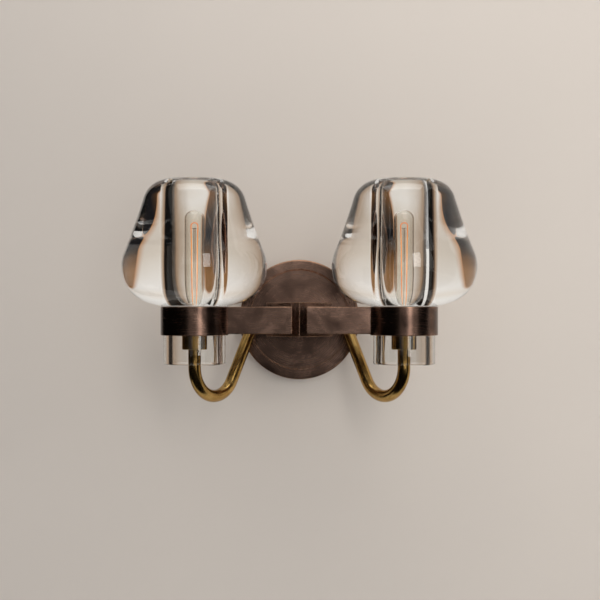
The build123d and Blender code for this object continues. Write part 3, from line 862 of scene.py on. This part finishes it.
@dataclass
class Backplate:
    """Spun dish of bronze: a raised rim round a sunk floor, open at the wall."""

    wall: float = 1.5 * MM
    rim_width: float = 10.7 * MM
    recess_depth: float = 2.5 * MM
    outer_edge: float = 1.2 * MM
    inner_edge: float = 0.35 * MM
    fold: float = 0.6 * MM

    def build(self) -> None:
        """Turns the dish about the line into the wall."""
        extent = Extent.of("backplate")
        radius, front = extent.size[0] / 2, extent.low[1]
        recess, floor = radius - self.rim_width, front + self.recess_depth
        corners = [
            (0, floor), (recess, floor, self.fold), (recess, front, self.inner_edge),
            (radius, front, self.outer_edge), (radius, 0, self.inner_edge),
            (radius - self.wall, 0, self.inner_edge), (radius - self.wall, front + self.wall, self.fold),
            (recess + self.wall, front + self.wall, self.fold),
            (recess + self.wall, floor + self.wall, self.fold), (0, floor + self.wall),
        ]
        skin = lathe(corners, np.zeros(3), Spindle.INTO_WALL, columns=192)
        fit(skin.mesh("spun_backplate"), BRONZE, "fixture", "backplate")


@dataclass
class CentreBlock:
    """Cast block with a square nose towards the room."""

    corner: float = 0.7 * MM
    nose: float = 0.5 * MM
    edge: float = 0.6 * MM

    def build(self) -> None:
        """Raises the house-shaped plan between the frame's levels."""
        extent = Extent.of("centre_block")
        half, front, rear = extent.size[0] / 2, extent.low[1], extent.high[1]
        rest = [(half, front + half), (half, rear), (-half, rear), (-half, front + half)]
        plan = [(0, front, self.nose), *((*place, self.corner) for place in rest)]
        skin = slab(*soften(plan), extent.low[2], extent.high[2], self.edge)
        fit(skin.mesh("nosed_block"), BRONZE, "fixture", "centre_block")


@dataclass
class Sided:
    """What all the pieces of one side share."""

    side: Side

    def box(self, node: str) -> Extent:
        """Box of one of the side's frame nodes."""
        return Extent.of(self.side.of(node))

    @property
    def foot(self) -> Array:
        """Where the upright axis of the side's shade crosses the level z = 0."""
        return self.box("collar").centre * (1, 1, 0)

    def fit(self, skin: Skin, name: str, finish: Finish, node: str, mover: str | None = None) -> None:
        """Fits a skin in place of one of the side's nodes, on the fixture or on one of the side's movers."""
        body = self.side.of(mover) if mover else "fixture"
        fit(skin.mesh(self.side.of(name)), finish, body, self.side.of(node))


@dataclass
class Arm(Sided):
    """Flat bar, mitred on the block's nose and hollowed to its collar."""

    nose_proud: float = 7.0 * MM
    thickness: float = 8.0 * MM
    corner: float = 0.3 * MM
    edge: float = 0.5 * MM

    def build(self) -> None:
        """Raises the bar's plan; its far end follows the collar's circle, with guard points beside it."""
        arm, collar = self.box("arm"), self.box("collar")
        centre, radius = collar.centre, collar.size[0] / 2
        sign = self.side.value
        front = centre[1] - self.thickness / 2
        back = front + self.thickness
        swing = math.asin(self.thickness / 2 / radius)
        angle = np.linspace(-swing, swing, 13)[::sign]
        hollow = centre[:2] + radius * np.stack([-sign * np.cos(angle), np.sin(angle)], axis=1)
        inner = {front: self.nose_proud, back: self.nose_proud + self.thickness}
        mitre = [(sign * inner[level], level, self.corner) for level in (back, front)[::sign]]
        ends, ends_wear = soften([hollow[-1], *mitre, hollow[0]], closed=False)
        guard = np.array([[-sign * self.corner, 0]])
        outline = np.vstack([hollow, hollow[-1:] + guard, ends[1:-1], hollow[:1] + guard])
        wear = np.concatenate([np.zeros(len(hollow) + 1), ends_wear[1:-1], [0]])
        skin = slab(outline, wear, arm.low[2], arm.high[2], self.edge)
        self.fit(skin, "flat_arm", BRONZE, "arm")


@dataclass
class Collar(Sided):
    """Plain turned band, and the clear seat ring between it and the glass."""

    wall: float = 2.5 * MM
    edge: float = 0.5 * MM
    ring_edge: float = 0.2 * MM

    def build(self) -> None:
        """Turns band and ring about the shade's axis."""
        band, seat = self.box("collar"), self.box("shade_gasket")
        radius = band.size[0] / 2
        corners = box_section(radius - self.wall, radius, band.low[2], band.high[2], [self.edge] * 4)
        self.fit(lathe(corners, self.foot, columns=160), "turned_collar", BRONZE, "collar")
        outer = seat.size[0] / 2
        corners = box_section(radius - self.wall, outer, seat.low[2], seat.high[2], [self.ring_edge] * 4)
        self.fit(lathe(corners, self.foot, columns=128, steps=2), "seat_ring", SILICONE, "shade_gasket")


# --- brass pieces


@dataclass
class Gooseneck(Sided):
    """Bent brass tube from the socket cup down, round its crook and back up into the backplate."""

    radius: float = 6.35 * MM
    wall: float = 1.2 * MM
    crook_radius: float = 30.7 * MM
    crook_level: float = -46.9 * MM
    entry_level: float = 2.0 * MM
    entry_corner: float = -31.0 * MM
    entry_bend: float = 20.0 * MM
    stop_edge: float = 0.3 * MM

    def route(self) -> Route:
        """The tube's axis.

        The crook lies in the upright plane through the shade's axis and the corner where the leaning leg
        would meet the level entry; the leg is the tangent from that corner to the crook's circle.
        """
        foot, tube = self.foot, self.box("gooseneck")
        entry = self.box("gooseneck_ferrule").centre[0]
        level_run = np.array([entry - foot[0], self.entry_corner - foot[1], 0])
        corner_run = np.linalg.norm(level_run)
        inwards = level_run / corner_run
        out, drop = corner_run - self.crook_radius, self.entry_level - self.crook_level
        span = math.hypot(out, drop)
        lean = math.atan2(out, drop) - math.asin(self.crook_radius / span)
        leg = math.sqrt(span**2 - self.crook_radius**2)
        leg_heading = math.sin(lean) * inwards + math.cos(lean) * UP
        turn = math.acos(leg_heading @ INTO_WALL)
        setback = self.entry_bend * math.tan(turn / 2)
        towards = unit(INTO_WALL - (leg_heading @ INTO_WALL) * leg_heading)
        route = Route(foot + UP * tube.high[2], -UP, np.cross(inwards, UP))
        route.straight(tube.high[2] - self.crook_level, 8)
        route.bend(inwards, self.crook_radius, math.pi - lean, 60)
        route.straight(leg - setback, 16)
        route.bend(towards, self.entry_bend, turn, 32)
        route.straight(tube.high[1] - route.stations[-1, 0, 1], 8)
        return route

    def build(self) -> None:
        """Carries the tube's round wall along its axis, its two ends closed by rims; then the stop ring."""
        route = self.route()
        faces = zip(route.tube(self.radius, 48), route.tube(self.radius - self.wall, 48))
        skin = Skin().ring(*(np.concatenate([outer, inner[::-1]]) for outer, inner in faces))
        self.fit(skin, "bent_gooseneck", BRASS, "gooseneck")
        ring = self.box("gooseneck_ferrule")
        blunts = self.stop_edge * np.array([0.5, 1, 1, 0.5])
        corners = box_section(self.radius, ring.size[0] / 2, ring.low[1], ring.high[1], blunts)
        skin = lathe(corners, ring.centre * (1, 0, 1), Spindle.INTO_WALL, columns=64)
        self.fit(skin, "stop_ring", BRASS, "gooseneck_ferrule")


@dataclass
class RolledThread:
    """Thin sleeve with a round rolled thread in its wall."""

    box: Extent
    wall: float
    depth: float
    pitch: float = 2.82 * MM
    rows_per_turn: int = 14
    columns: int = 72

    def skin(self, foot: Array) -> Skin:
        """Makes the sleeve.

        At height z and angle a the outer radius is the full radius less
        depth (1 - cos(2 pi z / pitch - a)) / 2, faded out at both ends; the inner wall is the same less
        the wall.
        """
        radius, low, high = self.box.size[0] / 2, self.box.low[2], self.box.high[2]
        height = np.linspace(low, high, int((high - low) / self.pitch * self.rows_per_turn))
        angle = round_angles(self.columns)
        fade = np.clip(np.minimum(height - low, high - height) / self.pitch, 0, 1)[:, None]
        wave = (1 - np.cos(math.tau * (height[:, None] - low) / self.pitch - angle[None])) / 2
        outer = radius - self.depth * wave * fade
        rows = np.concatenate([outer, outer[::-1] - self.wall])
        levels = np.concatenate([height, height[::-1]])[:, None]
        spokes = np.stack([np.cos(angle), np.sin(angle), np.zeros_like(angle)], axis=1)
        points = foot + rows[..., None] * spokes + levels[..., None] * UP
        grain = np.stack(np.broadcast_arrays(rows, levels, radius * np.cos(angle)[None]), axis=-1)
        return Skin().ring(points, grain, (1 - np.concatenate([wave, wave[::-1]])) / 2)


@dataclass
class Socket(Sided):
    """Brass cup with the moulded holder and its threaded shell inside."""

    cup_wall: float = 0.8 * MM
    cup_floor: float = 1.2 * MM
    nipple: float = 5.05 * MM
    edge: float = 0.3 * MM
    well: float = 7.7 * MM
    terminal_radius: float = 7.6 * MM
    terminal_height: float = 3.5 * MM
    contact_floor: float = 2.4 * MM
    shell_wall: float = 0.32 * MM
    thread_depth: float = 0.28 * MM

    def build(self) -> None:
        """Turns cup and holder, then rolls the shell's thread."""
        cup, holder, shell = self.box("socket_cup"), self.box("lampholder"), self.box("screw_shell")
        edge = self.edge
        radius, low, high = cup.size[0] / 2, cup.low[2], cup.high[2]
        inside = low + self.cup_floor
        corners = [
            (self.nipple, low, edge / 2), (radius, low, 2 * edge), (radius, high, edge),
            (radius - self.cup_wall, high, edge), (radius - self.cup_wall, inside, edge),
            (self.nipple, inside, edge / 2),
        ]
        self.fit(lathe(corners, self.foot), "drawn_cup", BRASS, "socket_cup")

        radius, low, high = holder.size[0] / 2, holder.low[2], holder.high[2]
        floor = shell.low[2]
        ceiling = floor - self.contact_floor
        terminals = ceiling - self.terminal_height
        corners = [
            (0, floor), (self.well, floor, edge / 2), (self.well, high, 2 * edge), (radius, high, 2 * edge),
            (radius, low, edge), (self.nipple, low, edge / 2), (self.nipple, terminals, edge / 2),
            (self.terminal_radius, terminals, edge / 2), (self.terminal_radius, ceiling, edge),
            (0, ceiling),
        ]
        self.fit(lathe(corners, self.foot), "moulded_holder", PHENOLIC, "lampholder")
        skin = RolledThread(shell, self.shell_wall, self.thread_depth).skin(self.foot)
        self.fit(skin, "threaded_shell", BRIGHT_BRASS, "screw_shell")


# --- glass pieces


@dataclass
class Shade(Sided):
    """Heavy bell of clear glass, in one piece with its neck, round a straight bore."""

    bore: float = 22.5 * MM
    neck_radius: float = 30.8 * MM
    seat_level: float = 14.4 * MM
    seat_radius: float = 34.0 * MM
    seat_round: float = 0.3 * MM
    belly_rise: float = 40.7 * MM
    shoulder_radius: float = 50.35 * MM
    shoulder_rise: float = 108.1 * MM
    crest_radius: float = 30.6 * MM
    mouth_drop: float = 6.0 * MM
    flare_lift: float = math.radians(10.3)
    flare_pull: float = 0.65
    belly_pull: float = 0.58
    shoulder_lean: float = math.radians(16.6)
    wall_lead: float = 0.21
    brow_lead: float = 11.6
    lip_lead: float = 1.28
    neck_round: float = 1.4 * MM
    wave_depth: float = 0.9 * MM
    wave_reach: float = 9 * MM
    waves: Sequence[Triple] = ((3, 1.0, 0.7), (5, 0.7, 2.1), (9, 0.3, 0.0))
    columns: int = 224

    def wall_profile(self, crest: float, belly: float) -> Array:
        """Outside of the bell from the seat to the top of the bore: a curve, then three pairs of arcs."""
        seat = np.array([self.seat_radius, self.seat_level])
        widest = np.array([belly, self.seat_level + self.belly_rise])
        shoulder = np.array([self.shoulder_radius, self.seat_level + self.shoulder_rise])
        top = np.array([self.crest_radius, crest])
        mouth = np.array([self.bore, crest - self.mouth_drop])
        up, inwards = np.array([0, 1.0]), np.array([-1.0, 0])
        flare = np.array([math.cos(self.flare_lift), math.sin(self.flare_lift)])
        leaning = np.array([-math.sin(self.shoulder_lean), math.cos(self.shoulder_lean)])
        out_handle = self.flare_pull * (belly - self.seat_radius) * flare
        rise_handle = self.belly_pull * self.belly_rise * up
        underside = bezier([seat, seat + out_handle, widest - rise_handle, widest], 64)
        wall = two_arcs(widest, up, shoulder, leaning, self.wall_lead, 24)
        brow = two_arcs(shoulder, leaning, top, inwards, self.brow_lead, 18)
        lip = two_arcs(top, inwards, mouth, -up, self.lip_lead, 12)
        return np.vstack([underside, wall[1:], brow[1:], lip[1:]])

    def build(self) -> None:
        """Turns the outline and lets the fire-polished edge of the neck wander a little.

        The edge rises by wave_depth times a sum of sines round the neck, brought between 0 and 1, and
        fades as the square of the nearness to the edge.
        """
        extent = self.box("glass_shade")
        bottom = extent.low[2]
        bell = self.wall_profile(extent.high[2], extent.size[:2].min() / 2)
        tail = [
            tuple(bell[-1]), (self.bore, bottom, self.neck_round),
            (self.neck_radius, bottom, self.neck_round),
            (self.neck_radius, self.seat_level, self.seat_round), tuple(bell[0]),
        ]
        neck, _ = soften(tail, closed=False, steps=8)
        profile = np.vstack([bell, neck[1:-1]])
        points, grain = turned(profile, self.foot, columns=self.columns)
        angle = round_angles(self.columns)
        total = sum(size for _, size, _ in self.waves)
        wander = sum(size * np.sin(count * angle + phase) for count, size, phase in self.waves)
        nearness = np.clip(1 - (profile[:, 1] - bottom) / self.wave_reach, 0, 1) ** 2
        points[..., 2] += self.wave_depth * nearness[:, None] * (total + wander) / (2 * total)
        self.fit(Skin().ring(points, grain), "crystal_shade", CRYSTAL, "glass_shade", "shade")


@dataclass
class Lamp(Sided):
    """Tubular lamp: envelope, threaded cap with its black cone and button, stem, hairpin and its cross."""

    radius: float = 10.0 * MM
    glass: float = 0.7 * MM
    flare: float = 8.0 * MM
    neck: float = 6.2 * MM
    cap_wall: float = 0.25 * MM
    thread_depth: float = 0.22 * MM
    cone_tip: float = 3.1 * MM
    stem_foot: float = 4.8 * MM
    stem_waist: float = 3.2 * MM
    pinch_height: float = 3 * MM
    pinch_spread: float = 0.25
    pinch_squeeze: float = 0.45
    rod: float = 1.1 * MM
    strand: float = 0.45 * MM
    foot_spread: float = 1.9 * MM
    head_spread: float = 3.4 * MM
    cross_wire: float = 0.3 * MM
    cool: Colour = (0.72, 0.10, 0.004)
    hot: Colour = (0.95, 0.32, 0.02)

    def build(self) -> None:
        """Makes every piece of the lamp."""
        self._envelope()
        self._cap()
        self._stem()
        self._hairpin()
        self._cross()

    def _envelope(self) -> None:
        """Turns the glass: a quarter circle crown, a straight tube, an S-curved flare and the neck."""
        box, cap_top = self.box("lamp_envelope"), self.box("lamp_cap").high[2]
        crown_level, bottom = box.high[2] - self.radius, box.low[2]
        angle = np.linspace(math.pi / 2, 0, 20)

        def wall(radius: float, neck: float) -> Array:
            """One face of the glass from the crown down."""
            crown = np.stack([radius * np.cos(angle), crown_level + radius * np.sin(angle)], axis=1)
            half, shoulder = self.flare / 2, cap_top + self.flare
            handles = [(radius, shoulder), (radius, shoulder - half)]
            handles += [(neck, cap_top + half), (neck, cap_top)]
            straight = np.linspace((radius, crown_level), (radius, shoulder), 6)[1:-1]
            return np.vstack([crown, straight, bezier(handles, 14), [(neck, bottom)]])

        outer = wall(self.radius, self.neck)
        inner = wall(self.radius - self.glass, self.neck - self.glass)
        outer[0, 0] = inner[0, 0] = 0
        skin = Skin().ring(*turned(np.vstack([outer, inner[::-1]]), self.foot, columns=96))
        self.fit(skin, "blown_envelope", LAMP_GLASS, "lamp_envelope", "lamp")

    def _cap(self) -> None:
        """Rolls the cap's thread, and turns the cone and the button under it."""
        sleeve = RolledThread(self.box("lamp_cap"), self.cap_wall, self.thread_depth)
        self.fit(sleeve.skin(self.foot), "threaded_cap", BRIGHT_BRASS, "lamp_cap", "lamp")
        cone, button = self.box("lamp_cap_insulator"), self.box("lamp_cap_button")
        corners = [
            (0, cone.low[2]), (self.cone_tip, cone.low[2], 0.3 * MM),
            (cone.size[0] / 2, cone.high[2], 0.2 * MM), (0, cone.high[2]),
        ]
        skin = lathe(corners, self.foot, columns=64)
        self.fit(skin, "vitrite_cone", VITRITE, "lamp_cap_insulator", "lamp")
        blunts = (0, 0.6 * MM, 0.1 * MM, 0)
        corners = box_section(0, button.size[0] / 2, button.low[2], button.high[2], blunts)
        skin = lathe(corners, self.foot, columns=48)
        self.fit(skin, "solder_button", SOLDER, "lamp_cap_button", "lamp")

    def _stem(self) -> None:
        """Turns foot and rod, then pinches the foot's head flat.

        The pinch is a bell curve of the height: it widens the glass along X and thins it along Y.
        """
        box, head = self.box("lamp_stem"), self.box("lamp_filament").low[2]
        corners = [
            (0, box.low[2]), (self.stem_foot, box.low[2], 0.4 * MM),
            (self.stem_waist, head - self.stem_waist, 1.5 * MM), (self.stem_waist, head, 0.8 * MM),
            (self.rod, head, 0.3 * MM), (self.rod, box.high[2], 0.5 * MM), (0, box.high[2]),
        ]
        profile, wear = soften(corners)
        points, grain = turned(profile, self.foot, columns=48)
        pinch = np.exp(-(((profile[:, 1] - head) / self.pinch_height + 1) ** 2))[:, None]
        pinch = pinch * (profile[:, :1] > 1.05 * self.rod)
        for axis, change in ((0, self.pinch_spread), (1, -self.pinch_squeeze)):
            points[..., axis] += (points[..., axis] - self.foot[axis]) * change * pinch
        self.fit(Skin().ring(points, grain, wear), "pressed_stem", LAMP_GLASS, "lamp_stem", "lamp")

    def _hairpin(self) -> None:
        """Carries the strand up, over and down: two leaning runs and a turn of a little over a half."""
        box = self.box("lamp_filament")
        spread = self.head_spread - self.foot_spread
        rise = box.size[2] - self.head_spread - self.strand
        lean, length = math.atan2(spread, rise), math.hypot(spread, rise)
        start = np.array([self.foot[0] - self.foot_spread, box.centre[1], box.low[2]])
        heading = np.array([-math.sin(lean), 0, math.cos(lean)])
        towards = np.array([math.cos(lean), 0, math.sin(lean)])
        route = Route(start, heading, INTO_WALL)
        route.straight(length, 24)
        route.bend(towards, self.head_spread / math.cos(lean), math.pi + 2 * lean, 24)
        route.straight(length, 24)
        skin = Skin().rod(*route.tube(self.strand, columns=14))
        ends = {"low": box.low[2], "high": box.high[2]}
        glow = GlowingWire("glowing_carbon", "glowing_filament", self.cool, self.hot, strength=1.1, **ends)
        self.fit(skin, "hairpin", glow, "lamp_filament", "lamp")

    def _cross(self) -> None:
        """Two wires through the rod's head, each a straight tube with rounded tips."""
        box = self.box("lamp_filament_anchor")
        half = box.size[0] / 2
        middle = self.foot + UP * box.centre[2]
        skin = Skin()
        for heading in (np.array([1.0, 0, 0]), INTO_WALL):
            route = Route(middle - half * heading, heading, UP)
            route.straight(2 * half, 20)
            tip = np.clip(np.minimum(route.runs, 2 * half - route.runs) / self.cross_wire, 0.02, 1)
            skin.rod(*route.tube(self.cross_wire * np.sqrt(1 - (1 - tip) ** 2), columns=10))
        self.fit(skin, "wire_cross", SUPPORT, "lamp_filament_anchor", "lamp")


# --- hidden pieces


def dress_hidden() -> None:
    """Gives every frame node that still shows, behind the backplate or in a socket, its finish."""
    slots = {part["node"]: part["material_slot"] for part in frame["record"]["subparts"]}
    by_slot = {finish.slot: finish for finish in HIDDEN_FINISHES}
    for name, node in frame["nodes"].items():
        if not node.hide_render:
            finish = by_slot[slots[name]]
            node.data.materials.clear()
            node.data.materials.append(finish.material())
            log.info("%s keeps its frame mesh in %s", name, finish.name)


# --- stage


def aim_at(holder: Piece, place: Triple, aim: Triple) -> None:
    """Puts a lamp or camera at a place, looking at a point with its top upwards."""
    back = unit(np.array(place) - np.array(aim))
    right = unit(np.cross(UP, back))
    turn = np.eye(4)
    turn[:3, 0], turn[:3, 1], turn[:3, 2], turn[:3, 3] = right, np.cross(back, right), back, place
    holder.matrix_world = Matrix(turn.tolist())


@dataclass(frozen=True)
class Softbox:
    """A soft lamp: where it stands, what it looks at, its size and power."""

    name: str
    place: Triple
    aim: Triple
    size: tuple[float, float]
    power: float
    in_reflections: bool = True

    def hang(self) -> None:
        """Makes the lamp, which cameras don't see."""
        lamp = bpy.data.lights.new(self.name, "AREA")
        lamp.shape = "RECTANGLE"
        lamp.size, lamp.size_y = self.size
        lamp.energy = self.power
        lamp.color = (1.0, 0.97, 0.93)
        holder = put(bpy.data.objects.new(self.name, lamp))
        aim_at(holder, self.place, self.aim)
        holder.visible_camera = holder.visible_transmission = False
        holder.visible_glossy = self.in_reflections


# Painted dark reflections: the near-black of cards that give metal and glass dark surroundings.
DARK: Colour = (0.006, 0.006, 0.006)
# Painted shade: the bright card turns to this tan towards its sides.
PAINTED_SHADE_TAN: Colour = (0.38, 0.27, 0.185)
# Painted amber glow of the bronze backplate, round the window in the bright card.
RIM: Colour = (0.45, 0.22, 0.09)
# Painted dark reflections: a card that is near-black all over.
BLACK = ((0.0, DARK), (1.0, DARK))
# Painted shade: brown cards beside the shades that only the glass sees.
PAINTED_SHADE_BROWN = ((0.0, (0.19, 0.125, 0.085)), (1.0, (0.24, 0.155, 0.10)))
# Painted dim reflection: grey band that the arms reflect beside the dark camera card.
PAINTED_DIM_REFLECTION = ((0.0, (0.16, 0.15, 0.15)), (1.0, (0.30, 0.28, 0.27)))
# Painted light and shade of the wall seen through the glass: beige and dimmer low down, near white higher up
# where the lamps light it, with a tan dip.
PAINTED_LIT_WALL = (
    (0.317, (0.50, 0.46, 0.42)),
    (0.345, (0.58, 0.51, 0.44)),
    (0.371, (0.64, 0.57, 0.49)),
    (0.3875, (0.74, 0.69, 0.63)),
    (0.40, (0.82, 0.785, 0.745)),
    (0.425, (0.78, 0.715, 0.64)),
    (0.458, (0.87, 0.85, 0.82)),
)
# Painted shadow of the fixture, turning higher up to a painted glow of the bronze backplate, seen only
# through the glass.
PAINTED_SHADOW_AND_BRONZE = (
    (0.42, (0.012, 0.011, 0.012)),
    (0.455, (0.05, 0.028, 0.016)),
    (0.49, (0.15, 0.072, 0.028)),
    (0.53, (0.27, 0.14, 0.06)),
)


@dataclass(frozen=True)
class Card:
    """A flat card that only reflections and refractions see, as photographers set round glass.

    Its tones are given at shares of its height, from the bottom up, and paint what the metal and the glass
    show:
    dark reflections, and the wall's light and shade, the fixture's shadow and the bronze plate's glow seen
    through the glass. Sides are two distances from the middle line, between which the card turns to their
    colour. A window is an oval hole with a painted amber glow for its rim, given as the height of its
    middle, its half width and its half height.
    """

    name: str
    middle: Triple
    size: Triple
    tones: Stops = BLACK
    in_reflections: bool = True
    in_glass: bool = True
    sides: tuple[float, float, Colour] | None = None
    window: Triple | None = None
    rim: float = 0.2

    def finish(self) -> Material:
        """Makes the card's painted glow, banded by height and faintly clouded."""
        recipe = Recipe(bpy.data.materials.new(self.name))
        across, up = recipe.place_parts("X", "Z")
        height = max(self.size[2], WELD)
        low = self.middle[2] - height / 2
        cloud = recipe.noise(recipe.place(), 12.0, detail=2)
        colour = recipe.ramp((up - low) * (1 / height) + (cloud - 0.5) * 0.03, self.tones)
        if self.sides:
            near, far, side_colour = self.sides
            outward = (across.at_least(across * -1) - near) * (1 / (far - near))
            colour = recipe.tint(outward, colour, side_colour)
        opening = None
        if self.window:
            middle, half_width, half_height = self.window
            sideways, upwards = across * (1 / half_width), (up - middle) * (1 / half_height)
            reach = (sideways * sideways + upwards * upwards) ** 0.5
            # painted amber glow round the hole, for the bronze backplate seen through the glass
            colour = recipe.tint((1 + self.rim - reach) * (1 / self.rim), colour, RIM)
            opening = 1 - reach.above(1.0)
        if not self.in_glass:
            (mirrorings,) = recipe.signals(recipe.add("LightPath"), "Glossy Depth")
            opening = 1 - mirrorings.above(0.5)
        shader = recipe.add("Emission", None, {"Color": colour, "Strength": 1.0})
        if opening:
            shader = recipe.blend(opening, shader, recipe.add("BsdfTransparent"))
        return recipe.end(shader)

    def hang(self) -> None:
        """Hangs the card out of sight of cameras and without a shadow."""
        panel = stage_panel(self.name, self.middle, self.size, self.finish())
        panel.visible_camera = panel.visible_diffuse = panel.visible_shadow = False
        panel.visible_glossy = self.in_reflections


def stage_panel(name: str, middle: Triple, size: Triple, finish: Material) -> Piece:
    """Flat stage panel: its middle plus and minus half its size along the two axes that it spans."""
    spans = [axis for axis in range(3) if size[axis] > 0]
    points = np.tile(np.array(middle, float), (4, 1))
    points[:, spans] += np.array([(-1, -1), (1, -1), (1, 1), (-1, 1)]) * np.array(size)[spans] / 2
    mesh = bpy.data.meshes.new(name)
    mesh.from_pydata(points.tolist(), [], [(0, 1, 2, 3)])
    mesh.materials.append(finish)
    panel = put(bpy.data.objects.new(name, mesh))
    return panel


ROOM_ONLY = {"in_glass": False}
GLASS_ONLY = {"in_reflections": False}
FLAG_SIDES = (0.26, 0.36, DARK)
# Cards that paint reflections and refractions: the black ones paint dark surroundings, the others the wall's
# light and shade, the fixture's shadow and the plate's glow seen through the glass.
CARDS = (
    Card("stage_card_left_side", (-0.8, -1.1, 0.5), (0, 2.2, 2.6), **ROOM_ONLY),
    Card("stage_card_left_front", (-1.7, -2.2, 0.9), (2.2, 0, 3.0), **ROOM_ONLY),
    Card("stage_card_right_side", (1.5, -1.0, 0.4), (0, 1.5, 2.4), **ROOM_ONLY),
    Card("stage_card_below", (0, -2.1, -0.55), (2.6, 0, 0.86), **ROOM_ONLY),
    Card("stage_card_camera", (0, -2.1, -0.055), (0.3, 0, 0.13), **ROOM_ONLY),
    Card("stage_card_dusk", (0, -2.15, -0.055), (1.5, 0, 0.13), PAINTED_DIM_REFLECTION, **ROOM_ONLY),
    Card("stage_card_floor", (0, -1.2, -0.478), (2.6, 2.0, 0), **ROOM_ONLY),
    Card("stage_card_low", (0, -0.95, -0.48), (1.6, 0.75, 0), **GLASS_ONLY),
    Card("stage_flag_left_near", (-0.58, -3 * MM, 0.15), (0.66, 0, 0.9), **ROOM_ONLY),
    Card("stage_flag_left", (-0.6, 0.052, 0.15), (0.7, 0, 1.1), PAINTED_SHADE_BROWN, sides=FLAG_SIDES, **GLASS_ONLY),
    Card("stage_flag_right", (0.6, 0.052, 0.15), (0.7, 0, 1.1), PAINTED_SHADE_BROWN, sides=FLAG_SIDES, **GLASS_ONLY),
    Card(
        "stage_field",
        (0, 0.05, 0.2),
        (0.54, 0, 1.2),
        PAINTED_LIT_WALL,
        sides=(0.13, 0.24, PAINTED_SHADE_TAN),
        window=(0.042, 0.073, 0.06),
        **GLASS_ONLY,
    ),
    Card("stage_depth", (0, 0.2, 0.05), (0.8, 0, 0.9), PAINTED_SHADOW_AND_BRONZE, **GLASS_ONLY),
)
SOFTBOXES = (
    Softbox("key_right", (0.36, -1.15, 0.3), (0.05, -0.1, 0.0), (0.22, 0.8), 3.2),
    Softbox("side_right", (1.3, -0.55, 0.3), (0, -0.1, 0), (0.7, 1.0), 6.0, in_reflections=False),
    Softbox("top", (0.0, -0.5, 1.25), (0, -0.1, 0), (1.4, 0.7), 8.0),
)


@dataclass
class Studio:
    """Pale stage, soft light and the camera at the photograph's angle."""

    distance: float = 1050 * MM
    eye_level: float = 10.4 * MM
    image_side: int = 600
    middle: tuple[float, float] = (299.3, 310.0)
    focal: float = 63.0
    floor_level: float = -0.5
    wall_colour: Colour = (0.66, 0.605, 0.55)
    plate_hole: float = 58 * MM
    glow_power: float = 0.02

    def build(self) -> None:
        """Sets the whole stage."""
        self._camera()
        self._world()
        stage_panel("stage_wall", (0, 0.3 * MM, 0.9), (4.0, 0, 2.8), self._wall_finish())
        stage_panel("stage_floor", (0, 0, self.floor_level), (6.0, 6.0, 0), self._floor_finish())
        for thing in (*CARDS, *SOFTBOXES):
            thing.hang()
        self._lamp_glow()

    def _camera(self) -> None:
        """Level camera; its shift puts the horizon where the photograph has it."""
        data = bpy.data.cameras.new("camera")
        data.lens = self.focal
        data.sensor_width = 36.0
        data.shift_x = (self.image_side / 2 - self.middle[0]) / self.image_side
        data.shift_y = (self.middle[1] - self.image_side / 2) / self.image_side
        camera = put(bpy.data.objects.new("camera", data))
        place = (0.0, Sided(Side.LEFT).foot[1] - self.distance, self.eye_level)
        aim_at(camera, place, (0.0, 0.0, self.eye_level))
        bpy.context.scene.camera = camera

    def _world(self) -> None:
        """Even light on the object, and a pale surround for cameras, reflections and refractions."""
        world = bpy.data.worlds.new("surround")
        bpy.context.scene.world = world
        recipe = Recipe(world)
        rays = recipe.add("LightPath")
        camera, mirror, glass = recipe.signals(rays, "Is Camera Ray", "Is Glossy Ray", "Is Transmission Ray")
        light = recipe.add("Background", None, {"Color": (0.95, 0.96, 1.0), "Strength": 0.48})
        pale = recipe.add("Background", None, {"Color": (0.80, 0.78, 0.75), "Strength": 1.0})
        recipe.end(recipe.blend((camera + mirror + glass).at_most(1.0), light, pale), "OutputWorld")

    def _wall_finish(self) -> Material:
        """Pale plaster that shows only from the room, and lets light from behind through.

        It has a hole behind the backplate, so that the plate's inside is lit when seen from behind.
        """
        recipe = Recipe(bpy.data.materials.new("stage_plaster"))
        mottle = recipe.noise(recipe.place(), 1.5, detail=3)
        darker = tuple(0.95 * part for part in self.wall_colour)
        plaster = {"Color": recipe.ramp(mottle, [(0.35, darker), (0.65, self.wall_colour)])}
        rays = recipe.add("LightPath")
        camera, mirror, glass = recipe.signals(rays, "Is Camera Ray", "Is Glossy Ray", "Is Transmission Ray")
        (behind,) = recipe.signals(recipe.add("NewGeometry"), "Backfacing")
        across, up = recipe.place_parts("X", "Z")
        beside = (across * across + up * up).above(self.plate_hole**2)
        shown = camera.at_least(mirror - glass) * (1 - behind) * beside
        shaders = recipe.add("BsdfTransparent"), recipe.add("BsdfDiffuse", None, plaster)
        return recipe.end(recipe.blend(shown, *shaders))

    def _floor_finish(self) -> Material:
        """Pale matt floor."""
        recipe = Recipe(bpy.data.materials.new("stage_floor"))
        mottle = recipe.noise(recipe.place(), 2.0, detail=3)
        colour = recipe.ramp(mottle, [(0.35, (0.70, 0.69, 0.67)), (0.65, (0.74, 0.73, 0.71))])
        return recipe.shade({"Base Color": colour, "Roughness": 0.8})

    def _lamp_glow(self) -> None:
        """A small warm light inside each lamp, at its hairpin."""
        for side in Side:
            glow = bpy.data.lights.new(side.of("glow"), "POINT")
            glow.energy = self.glow_power
            glow.color = (1.0, 0.62, 0.3)
            glow.shadow_soft_size = 3 * MM
            holder = put(bpy.data.objects.new(side.of("glow"), glow))
            holder.location = Extent.of(side.of("lamp_filament")).centre
            holder.visible_camera = holder.visible_transmission = holder.visible_glossy = False


def main() -> None:
    """Dresses the sconce from the wall outwards and sets the stage."""
    logging.basicConfig(level=logging.INFO, format="%(name)s: %(message)s")
    bpy.context.scene.view_settings.view_transform = "Standard"
    Backplate().build()
    CentreBlock().build()
    for side in Side:
        for piece in (Arm, Collar, Gooseneck, Socket, Shade, Lamp):
            piece(side).build()
    dress_hidden()
    Studio().build()


if __name__ == "__main__":
    main()
